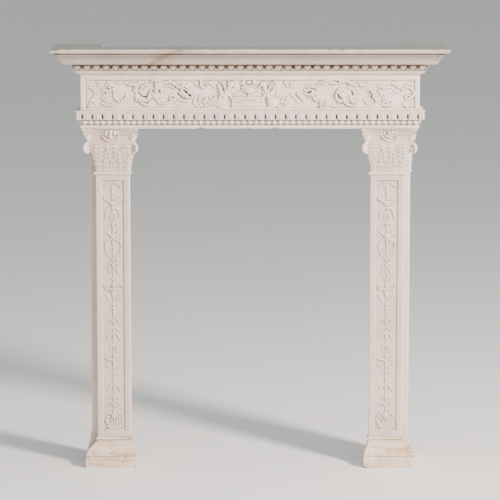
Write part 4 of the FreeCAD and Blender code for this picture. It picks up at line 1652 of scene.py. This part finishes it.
    def right_whorls(self, relief: Relief) -> None:
        """The flowers, the bud and the large whorl right of the altar."""
        relief.flower((158, 95), 15, 4, 6, 45)
        relief.stroke([(128, 106), (136, 92), (146, 86)], 8, 5.5)
        relief.stroke([(174, 64), (186, 48), (198, 34)], 9, 7)
        relief.stroke([(150, 60), (166, 46), (176, 28)], 7, 5)
        relief.leaf([(196, 72), (218, 88), (247, 86)], 18, 8.5, 4)
        relief.leaf([(198, 66), (222, 54), (246, 66)], 18, 8.5, 4)
        relief.dome((222, 68), 17, 12, 8)
        relief.sink([(212, 66), (222, 70)], 10, 14)
        relief.sink([(200, 80), (222, 84), (240, 76)], 4, 6)
        relief.sink([(202, 58), (222, 52), (240, 56)], 4, 6)
        relief.stroke([(234, 46), (246, 36), (260, 34)], 9, 7)
        relief.stroke([(258, 34), (258, 16), (268, 8), (280, 18), (278, 36)], 8, 8, 0.7)
        relief.dome((268, 24), 6, 10, 5.5)
        relief.stroke([(243, 92), (268, 108), (312, 114), (350, 106)], 6, 6, 0.9)
        relief.leaf([(262, 96), (292, 104), (322, 98)], 15, 8, 5)
        relief.leaf([(322, 100), (352, 110), (378, 92)], 18, 8.5, 5)
        relief.leaf([(352, 84), (372, 92), (372, 108)], 14, 9, 3)
        relief.leaf([(344, 84), (326, 72), (312, 52)], 20, 9, 4)
        relief.leaf([(312, 54), (328, 36), (350, 44)], 16, 9, 4)
        relief.dome((338, 58), 12, 11, 7.5)
        relief.sink([(320, 64), (330, 48), (346, 46)], 6, 8)
        relief.sink([(352, 60), (346, 42), (356, 24)], 5, 7)
        relief.leaf([(356, 66), (344, 42), (360, 18)], 15, 9, 4)
        relief.leaf([(370, 80), (382, 66), (398, 72)], 17, 8.5, 3)
        relief.leaf([(366, 60), (378, 34), (398, 42)], 17, 9, 4)
        relief.stroke([(362, 24), (376, 16), (392, 24)], 8, 6)
        relief.sink([(372, 76), (376, 60)], 7, 10)
        relief.sink([(372, 92), (386, 84)], 5, 8)
        relief.stroke([(300, 20), (318, 14), (336, 22)], 7, 5)

    def right_end(self, relief: Relief) -> None:
        """The zig-zag leaf, the rosette and the scroll at the right end."""
        relief.leaf([(394, 110), (410, 94), (436, 100)], 15, 8, 4)
        relief.leaf([(430, 76), (444, 66), (442, 50)], 16, 8.5, 3)
        relief.leaf([(444, 58), (458, 50), (464, 30)], 16, 8.5, 3)
        relief.sink([(436, 72), (447, 60), (444, 50), (456, 38)], 7, 11)
        relief.stroke([(420, 40), (432, 26), (452, 22)], 7, 5.5)
        relief.leaf([(466, 90), (494, 84), (522, 90)], 13, 7.5, 4)
        relief.stroke([(470, 74), (478, 64), (476, 50)], 7, 6)
        relief.flower((499, 43), 18, 6, 7, 15)
        relief.leaf([(478, 30), (496, 20), (520, 26)], 13, 7.5, 4)
        relief.leaf([(516, 104), (532, 98), (546, 84)], 14, 7, 3)
        relief.leaf([(520, 60), (532, 72), (550, 70)], 12, 6, 3)
        relief.stroke(spiral((580, 62), 150, -140, 27, 15), 9, 6.5, 0.8)
        relief.stroke(spiral((578, 46), 30, 330, 14, 5), 7, 6.5)
        relief.leaf([(560, 30), (572, 18), (592, 20)], 14, 6.5, 3)
        relief.leaf([(566, 84), (580, 98), (598, 94)], 13, 6.5, 3)

    def build(self) -> None:
        """Carves the front stone and adds the two plain returns."""
        foot, head = levels_of("frieze_front")
        relief = Relief(-COURSE_HALF, COURSE_HALF, 0, head - foot, self.pitch)
        self.left_scrolls(relief)
        self.bell_flower(relief)
        self.left_whorl(relief)
        self.beast(relief, Side.LEFT, 62)
        self.beast(relief, Side.RIGHT, 40)
        self.altar(relief)
        self.right_whorls(relief)
        self.right_end(relief)
        relief.height *= self.bold
        self.border(relief)
        relief.softened(1)
        shell = relief.shell(COURSE_FACE, BREAST, self.floor, 61).moved(0, 0, foot)
        piece("frieze_carving", shell, FIELD, ["frieze_front"], RELIEF_EDGE)
        plain = (RETURN_INNER, COURSE_HALF, BREAST, 0)
        levels = moulded([(foot, *plain), (head, *plain)], 6)
        for side in Side:
            lay_return("frieze", side, levels, 65)


@dataclass(frozen=True)
class LeafRow:
    """One row of leaves round a capital: how many a face has and their sizes."""

    count: int
    tall: float
    wide: float
    proud: float
    lobes: int


# Levels on the bell at which leafy_face is given its shape.
BELL_LEVELS = (0, 38, 66, 108)
FRONT_LEAVES = (
    LeafRow(3, 100, 50, 3.6, 6),
    LeafRow(4, 78, 40, 5.2, 5),
    LeafRow(5, 44, 29, 6.4, 3),
)
SIDE_LEAVES = (
    LeafRow(1, 98, 40, 4.0, 5),
    LeafRow(2, 74, 24, 5.0, 4),
    LeafRow(1, 42, 26, 6.5, 3),
)
RETURN_LEAVES = (
    LeafRow(3, 98, 46, 3.5, 5),
    LeafRow(4, 74, 34, 4.5, 4),
    LeafRow(5, 42, 27, 5.5, 3),
)


@dataclass
class Leg:
    """One leg: base, pilaster, capital and the side slab behind them.

    Sizes are those of the right leg. The left one is its mirror image with its own wear.
    """

    side: Side
    shaft_inner: float = 445.0
    shaft_outer: float = 570.0
    shaft_face: float = -30.0
    plinth_inner: float = 425.0
    plinth_outer: float = 615.0
    abacus_inner: float = 411.0
    abacus_outer: float = 616.0
    plinth_head: float = 56.0
    slope_foot: float = 64.0
    slope_head: float = 104.0
    base_head: float = 115.0
    pitch: float = 1.6
    relief_floor: float = 6.0
    slender: float = 0.8
    shallow: float = 0.8

    @property
    def middle(self) -> float:
        """X of the shaft's middle."""
        return (self.shaft_inner + self.shaft_outer) / 2

    @property
    def seed(self) -> int:
        """A seed of the leg's own."""
        return 100 + 20 * self.side.value

    def base(self) -> None:
        """The plinth and the moulded step that carries the shaft."""
        plinth = (self.plinth_inner, self.plinth_outer, COURSE_FACE)
        foot = (self.shaft_inner - 4, self.shaft_outer + 4, self.shaft_face - 4)

        def inset(plan: Sequence[float], by: float) -> Tuple[float, ...]:
            return (plan[0] + by, plan[1] - by, plan[2] + by)

        steps = [
            (0, *plinth, 0),
            (40, *plinth, 0),
            (42, *inset(plinth, 2.6), 0),
            (44.5, *inset(plinth, 2.6), 0),
            (46, *plinth, 0),
            (self.plinth_head - 3, *plinth, 0),
            (self.plinth_head, *inset(plinth, 4), 0),
            (self.slope_foot, *inset(plinth, 4), -0.12),
            (self.slope_head - 2, *inset(foot, 2), 0),
            (self.slope_head, *inset(foot, 2), 0.9),
            (self.base_head - 1, *inset(foot, 1), 0),
            (self.base_head, *inset(foot, 3), 0),
        ]
        levels = moulded(steps, 2.2)
        dents = [
            Dent(470, -57, 45, 10, 3.5),
            Dent(520, -57, 56, 9, 3.0),
            Dent(590, -57, 57, 12, 3.5),
            Dent(428, -55, 3, 14, 4.0),
            Dent(612, -56, 40, 14, 3.0),
        ]
        block = Block(levels, BREAST, self.seed, pitch=4.0, chip_mm=5.0, wear_mm=1.0, dents=dents)
        word = self.side.word
        piece(f"plinth_{word}", block.shell().on(self.side), BASE, [f"base_{word}"])

    def slab(self) -> None:
        """The side slab, whose foot and head carry the base's and the capital's mouldings."""
        name = f"jamb_return_{self.side.word}"
        _, head = levels_of(name)
        rows = [
            (0, 20, 0),
            (self.plinth_head - 3, 20, 0),
            (self.plinth_head, 17, 0),
            (self.slope_foot, 17, -0.1),
            (self.slope_head - 2, 2, 0),
            (self.slope_head, 2, 0.9),
            (self.base_head, 3, 0),
            (self.base_head, 0, 0),
            (head - 170, 0, 0),
            (head - 168, 4, 0.4),
            (head - 158, 4, 0),
            (head - 157, 0, 0),
            (head - 92, 0, -0.16),
            (head - 25, 14, 0),
            (head - 21, 18, 0),
            (head - 12, 19, 0),
            (head - 8, 21, 0),
            (head, 21, 0),
        ]
        levels = moulded([(z, 0, RETURN_OUTER + out, 0, bulge) for z, out, bulge in rows], 6.0)
        levels[:, 1] = RETURN_INNER
        levels[:, 3] = BREAST
        block = Block(levels, WALL, self.seed + 3, pitch=7.0)
        piece(f"side_slab_{self.side.word}", block.shell().on(self.side), SAWN, [name])

    def candelabrum(self, relief: Relief) -> None:
        """Carves the panel's candelabrum: a stem that carries dishes, leaves and scrolls."""

        def pair(points: Sequence[Point]) -> List[List[Point]]:
            return [list(points), [(-x, z) for x, z in points]]

        def strokes(
            points: Sequence[Point], width: float, height: float, tip: float = 0.4
        ) -> None:
            for run in pair(points):
                relief.stroke(run, width * self.slender, height, tip)

        def leaves(points: Sequence[Point], width: float, height: float, lobes: int = 3) -> None:
            for run in pair(points):
                relief.leaf(run, width * self.slender, height, lobes)

        def curls(level: float, out: float, radius: float, height: float = 6.5) -> None:
            strokes(spiral((out, level), 200, -170, radius, radius * 0.3), radius * 0.55, height)

        relief.stroke([(0, 160), (0, 620)], 4.5, 5.5, 0.9)
        relief.stroke([(0, 620), (0, 1040)], 4, 5.5, 0.9)
        relief.stroke([(-32, 1058), (-14, 1072), (0, 1075), (14, 1072), (32, 1058)], 6, 6, 1)
        relief.dome((0, 1040), 8, 13, 7.5)
        relief.dome((0, 1056), 5, 5, 7)
        relief.dome((0, 1022), 5, 5, 6.5)
        relief.stroke([(-32, 1014), (-14, 1004), (0, 1001), (14, 1004), (32, 1014)], 10, 8, 0.8)
        relief.bar((-30, 1010), (30, 1015), 6.5)
        relief.dome((0, 995), 15, 8, 7.5)
        relief.dome((0, 979), 7, 6, 7.5)
        leaves([(4, 984), (22, 968), (26, 938)], 14, 7)
        leaves([(3, 968), (9, 950), (8, 932)], 9, 6.5)
        curls(916, 11, 10)
        relief.dome((0, 905), 6, 5, 7)
        relief.stroke([(-20, 890), (-8, 874), (0, 866), (8, 874), (20, 890)], 8, 7.5, 0.8)
        relief.dome((0, 874), 10, 12, 8)
        relief.dome((0, 848), 5, 14, 7)
        strokes([(6, 862), (26, 852), (29, 828), (20, 804), (6, 796)], 6.5, 7)
        leaves([(10, 880), (24, 884), (33, 872)], 9, 6)
        curls(785, 10, 9)
        curls(764, 12, 10)
        leaves([(3, 758), (14, 748), (16, 732)], 11, 7)
        relief.dome((0, 742), 4, 10, 6.5)
        curls(711, 9, 8)
        strokes([(0, 678), (16, 674), (28, 676), (33, 686), (27, 692), (22, 686)], 7, 7.5, 0.5)
        relief.dome((0, 690), 7, 8, 7.5)
        relief.dome((0, 658), 9, 18, 7.5)
        relief.stroke([(-12, 672), (0, 668), (12, 672)], 6, 8, 0.9)
        leaves([(6, 634), (20, 640), (27, 656)], 12, 7)
        curls(614, 9, 8)
        relief.dome((0, 602), 7, 6, 7.5)
        relief.dome((0, 588), 4, 8, 6.5)
        curls(552, 13, 11)
        leaves([(4, 536), (14, 520), (24, 524)], 10, 6)
        leaves([(3, 512), (16, 500), (24, 482)], 13, 7)
        relief.dome((0, 500), 6, 14, 7)
        leaves([(3, 466), (11, 452), (10, 434)], 10, 6.5)
        relief.dome((0, 424), 6, 6, 7.5)
        relief.stroke([(-31, 412), (0, 406), (31, 412)], 7, 7.5, 0.9)
        relief.stroke([(0, 406), (0, 374)], 13, 7.5, 0.4)
        leaves([(5, 384), (18, 380), (28, 392)], 10, 6.5)
        curls(356, 11, 10)
        relief.dome((0, 336), 5, 12, 6.5)
        leaves([(3, 316), (16, 304), (26, 286)], 14, 7)
        relief.dome((0, 300), 6, 12, 7.5)
        curls(261, 10, 9)
        curls(235, 14, 11)
        curls(192, 21, 15, 7.5)
        relief.dome((0, 196), 8, 16, 8)
        leaves([(6, 160), (24, 164), (36, 182)], 15, 7.5, 4)
        leaves([(2, 158), (9, 168), (12, 184)], 10, 8)
        relief.bar((-30, 150), (30, 157), 7.5)
        relief.bar((-22, 141), (22, 150), 6)
        relief.bar((-36, 133), (36, 141), 7.5)

    def pilaster(self) -> None:
        """The shaft slab with its sunk panel."""
        name = f"pilaster_{self.side.word}"
        foot, head = levels_of(name)
        half = (self.shaft_outer - self.shaft_inner) / 2
        relief = Relief(-half, half, foot, head, self.pitch)
        self.candelabrum(relief)
        relief.height *= self.shallow
        heights = {
            24: 2.0,
            22.5: 4.4,
            20: self.relief_floor,
            17: self.relief_floor - 1.6,
            15: self.relief_floor,
        }
        relief.frame_border([(out, out, out - 2, out - 2, high) for out, high in heights.items()])
        inset = half - np.abs(relief.x)
        groove = (inset < 17) & (inset > 15.4)
        inside = (relief.z > foot + 15) & (relief.z < head - 15)
        relief.height[np.ix_(inside, groove)] -= 1.8
        relief.softened(1)
        shell = relief.shell(self.shaft_face, BREAST, self.relief_floor, self.seed + 5, 34.0)
        shell = shell.moved(self.middle, 0, 0).on(self.side)
        piece(f"pilaster_panel_{self.side.word}", shell, PANEL, [name], RELIEF_EDGE)

    def bell(self, foot: float, head: float) -> Shell:
        """The capital's astragal, bell and hollow-sided abacus."""
        abacus = head - 19
        steps = [
            (foot, 442, 573, -33, 0.9),
            (foot + 12, 442, 573, -33, 0),
            (foot + 12, 446, 569, -29, 0),
            (foot + 50, 441, 574, -31, 0.0),
            (foot + 78, 434, 583, -36, -0.1),
            (abacus - 22, 420, 604, -45, -0.1),
            (abacus - 4, 415, 611, -51, 0),
            (abacus - 4, 412, 614, -54, 0),
            (abacus, 413, 613, -54, 0),
            (abacus, 415, 611, -52, 0),
            (abacus + 6, 415, 611, -52, 0.3),
            (abacus + 11, self.abacus_inner, self.abacus_outer, COURSE_FACE, 0),
            (head, self.abacus_inner, self.abacus_outer, COURSE_FACE, 0),
        ]

        def hollowed(up: Array, share: Array) -> Array:
            shift = 13.0 * np.sin(np.pi * share) ** 0.8
            return shift * np.clip((up - abacus + 34) / 28, 0, 1)

        levels = moulded(steps, 3.5)
        return Block(levels, BREAST, self.seed + 7, pitch=4.0, sway=hollowed).shell()

    def volute(self, corner: Point, outwards: int, level: float) -> Shell:
        """A corner volute that stands in the corner's slanting plane.

        Args:
            corner: X and Y of the abacus's corner.
            outwards: 1 for the outer corner, -1 for the inner.
            level: Z of the volute's eye.

        Returns:
            The scroll, the web behind it, its eye and the horn that carries it.
        """
        slant = math.sqrt(0.5)
        way = np.array([outwards * slant, -slant, 0.0])
        upright = np.array([0.0, 0.0, 1.0])
        across = np.cross(way, upright)
        eye = np.array([corner[0], corner[1], level]) - way * 24
        winding = curve_through(spiral((0, 0), 118, -420, 21, 5), 4)
        line = eye + winding[:, :1] * way + winding[:, 1:] * upright
        radii = np.linspace(6.5, 2.8, len(line))
        stem = np.array([eye + way * 2 + upright * 52, eye - way * 6 + upright * 38])
        line = np.vstack([stem, line])
        radii = np.concatenate([[13.0, 11.0], radii])
        lens = np.linspace(-1, 1, 7)
        round_off = np.sqrt(np.clip(1.02 - lens**2, 0, 1))
        web = tube(eye + lens[:, None] * across * 2.5, 18 * round_off, 20)
        boss = tube(eye + lens[:, None] * across * 8, 5.0 * round_off, 12)
        bends = ((34, -2), (22, 24), (2, 44))
        path = [(eye - way * back + upright * up).tolist() for back, up in bends]
        horn = tube(curve_through(path, 5), np.linspace(6, 14, 11), 12)
        return joined([tube(line, radii, 10), web, boss, horn])

    def leafy_face(
        self, half: float, rows: Sequence[LeafRow], proud: Sequence[float], spread: Sequence[float]
    ) -> Shell:
        """One face of the capital's bell, carved with rows of acanthus.

        Args:
            half: Half the face's width at its foot.
            rows: The rows of leaves, the farthest back first.
            proud: How far the face stands out at each of BELL_LEVELS.
            spread: How much wider each half of it is there.

        Returns:
            The face, turned to -Y, with the middle of its foot at the origin.
        """
        relief = Relief(-half, half, 0, BELL_LEVELS[-1], 1.3)
        for row in rows:
            step = 2 * half / row.count
            for index in range(row.count):
                across = step * (index + 0.5) - half
                rib = [(across, -6), (across, row.tall * 0.55), (across, row.tall)]
                relief.leaf(rib, row.wide, row.proud, row.lobes, 0.4)
                tip = (across, row.tall - 5)
                relief.dome(tip, row.wide * 0.3, 5, row.proud * 1.1)
                relief.sink([(across - 5, row.tall - 12), (across + 5, row.tall - 12)], 5, 1.5)
        relief.softened(1)
        across, up = np.meshgrid(relief.x, relief.z)
        out = np.interp(up, BELL_LEVELS, proud)
        across = across * (1 + np.interp(up, BELL_LEVELS, spread) / half)
        front = np.stack([across, -relief.height - out, up], axis=-1)
        return slab_from_grid(front, 9.0 - out, relief.sunk(4.0, 13.0))

    def foliage(self, foot: float) -> Shell:
        """The capital's leaves, on its front and its two sides."""
        front = self.leafy_face(62, FRONT_LEAVES, (0, 2, 7, 14), (0, 4, 13, 22))
        shells = [front.moved(self.middle, self.shaft_face + 0.5, foot + 12)]
        deep = (BREAST - self.shaft_face) / 2 - 0.8
        for turn, face in ((90, self.shaft_outer - 0.5), (-90, self.shaft_inner + 0.5)):
            shell = self.leafy_face(deep, SIDE_LEAVES, (0, 4, 13, 22), (0, 0, 0, 0)).turned(turn)
            shells.append(shell.moved(face, BREAST - deep - 1.5, foot + 12))
        return joined(shells)

    def return_foliage(self, foot: float) -> Shell:
        """The leaves on the side slab's share of the capital."""
        half = (WALL - BREAST) / 2 - 1
        shell = self.leafy_face(half, RETURN_LEAVES, (0, 1, 4, 9), (0, 0, 0, 0)).turned(90)
        return shell.moved(RETURN_OUTER, WALL - half - 1, foot + 12)

    def helices(self, foot: float) -> Shell:
        """The two inner scrolls over the tall leaves."""
        shells = []
        for way in (-1, 1):
            winding = curve_through(spiral((0, 0), 215, -300, 8, 3), 4)
            across = self.middle + way * 12 - way * winding[:, 0]
            up = foot + 106 + winding[:, 1]
            line = np.stack([across, np.full_like(up, self.shaft_face - 11), up], axis=1)
            low = np.array([[self.middle + way * 19, self.shaft_face - 8, foot + 80]])
            line = np.vstack([low, line])
            radii = np.concatenate([[3.0], np.linspace(3.6, 2.4, len(line) - 1)])
            shells.append(tube(line, radii, 8))
        return joined(shells)

    def fleuron(self, head: float) -> Shell:
        """The ornament in the middle of the abacus, over a deep crescent hollow."""
        relief = Relief(-31, 31, -54, -3, 1.2)
        relief.stroke([(-28, -30), (-12, -45), (10, -47), (29, -32)], 9, 8, 0.6, 0.5)
        if self.side is Side.LEFT:
            relief.bar((-8, -40), (8, -4), 9, 4)
            relief.dome((-15, -18), 7, 13, 7)
            relief.dome((15, -18), 7, 13, 7)
            relief.leaf([(-12, -34), (-20, -26), (-26, -14)], 9, 6, 2)
            relief.leaf([(12, -34), (20, -26), (26, -14)], 9, 6, 2)
        else:
            relief.flower((4, -24), 17, 5, 9, 15)
            relief.stroke(spiral((6, -26), 40, -260, 17, 9), 6, 9)
            relief.leaf([(-14, -34), (-20, -22), (-16, -10)], 10, 6, 2)
            relief.stroke([(-12, -8), (2, -5), (18, -9)], 5, 6)
        relief.sink([(-21, -27), (-10, -37), (8, -39), (22, -29)], 10, 12)
        relief.softened(1)
        across, up = np.meshgrid(relief.x, relief.z)
        front = np.stack([across, -relief.height, up], axis=-1)
        flower = slab_from_grid(front, 14.0, relief.sunk(4.5, 9.0))
        return flower.moved((self.abacus_inner + self.abacus_outer) / 2, -42, head)

    def capital(self) -> None:
        """The Corinthian capital."""
        side, word = self.side, self.side.word
        foot, head = levels_of(f"capital_{word}")
        corners = ((self.abacus_outer, 1), (self.abacus_inner, -1))
        scrolls = [self.volute((x, COURSE_FACE), out, head - 76) for x, out in corners]
        scrolls.append(self.helices(foot))
        parts = (
            ("bell", self.bell(foot, head), LEAFY, MOULDING_EDGE),
            ("leaves", self.foliage(foot), LEAFY, LEAF_EDGE),
            ("side_leaves", self.return_foliage(foot), SAWN, LEAF_EDGE),
            ("scrolls", joined(scrolls), LEAFY, LEAF_EDGE),
            ("flower", self.fleuron(head), LEAFY, FLOWER_EDGE),
        )
        for part, shell, finish, edge in parts:
            nodes = [f"capital_{word}"] if part == "bell" else []
            piece(f"capital_{part}_{word}", shell.on(side), finish, nodes, edge)

    def build(self) -> None:
        """Builds the leg from the floor up."""
        self.base()
        self.slab()
        self.pilaster()
        self.capital()


# ---------------------------------------------------------------- stage


@dataclass(frozen=True)
class Lamp:
    """A square area light: where it hangs and what it faces in metres, its side and power."""

    name: str
    place: Place
    target: Place
    size: float
    watts: float
    colour: str

    def hang(self) -> None:
        """Puts the light in the scene."""
        light = bpy.data.lights.new(self.name, "AREA")
        light.shape = "SQUARE"
        light.size = self.size
        light.energy = self.watts
        light.color = linear(self.colour)[:3]
        thing = placed(self.name, light)
        thing.location = self.place
        way = np.array(self.target) - np.array(self.place)
        flat = math.hypot(way[0], way[1])
        thing.rotation_euler = (math.atan2(flat, -way[2]), 0, math.atan2(-way[0], way[1]))


# A large key from the right and above, a weak fill from the left and a top light.
LAMPS = (
    Lamp("key", (4.2, -4.1, 4.3), (0, 0, 1.0), 1.0, 980, "#fff0e5"),
    Lamp("fill", (-4.5, -4.0, 1.8), (0, 0, 0.8), 3.0, 8, "#eef2ff"),
    Lamp("top", (0.3, -0.8, 4.4), (0, 0, 0.9), 2.0, 50, "#ffffff"),
)


@dataclass
class Stage:
    """The floor, the sky and the camera, in metres and degrees."""

    floor_half: float = 120.0
    floor_colour: str = "#f6f7f7"
    floor_blotch: str = "#f2f3f3"
    floor_roughness: float = 0.85
    sky_colour: str = "#e6e6e6"
    sky_strength: float = 0.64
    eye_distance: float = 9.044
    eye_height: float = 2.211
    tilt: float = 8.0
    lens: float = 177.05
    rise: float = -0.065
    sight: float = 400.0

    def floor(self) -> None:
        """A very wide plain floor."""
        half = self.floor_half
        mesh = bpy.data.meshes.new("floor")
        corners = [(-half, -half, 0), (half, -half, 0), (half, half, 0), (-half, half, 0)]
        mesh.from_pydata(corners, [], [(0, 1, 2, 3)])
        material, place = blank_material("pale_studio_floor")
        tree = material.node_tree
        blotch = add(tree, "ShaderNodeTexNoise", {}, {"Vector": place, "Scale": 1.5}).outputs[0]
        colour = tint(tree, linear(self.floor_colour), self.floor_blotch, blotch)
        coat(material, {"Base Color": colour, "Roughness": self.floor_roughness})
        mesh.materials.append(material)
        placed("floor", mesh)

    def sky(self) -> None:
        """Even light from all round."""
        world = bpy.data.worlds.new("studio")
        world.use_nodes = True
        background = world.node_tree.nodes["Background"]
        background.inputs["Color"].default_value = linear(self.sky_colour)
        background.inputs["Strength"].default_value = self.sky_strength
        bpy.context.scene.world = world

    def camera(self) -> None:
        """A camera above standing height, tilted down a little."""
        data = bpy.data.cameras.new("camera")
        data.sensor_width = 36.0
        data.lens = self.lens
        data.shift_y = self.rise
        data.clip_end = self.sight
        thing = placed("camera", data)
        thing.location = (0.0, -self.eye_distance, self.eye_height)
        thing.rotation_euler = (math.radians(90 - self.tilt), 0, 0)
        bpy.context.scene.camera = thing

    def build(self) -> None:
        """Sets the stage and hangs the lights."""
        self.floor()
        self.sky()
        for lamp in LAMPS:
            lamp.hang()
        self.camera()


def main() -> None:
    """Builds the mantel and its stage."""
    logging.basicConfig(level=logging.INFO, format="%(name)s: %(message)s")
    Stage().build()
    for side in Side:
        Leg(side).build()
    Frieze().build()
    Courses().build()


if __name__ == "__main__":
    main()
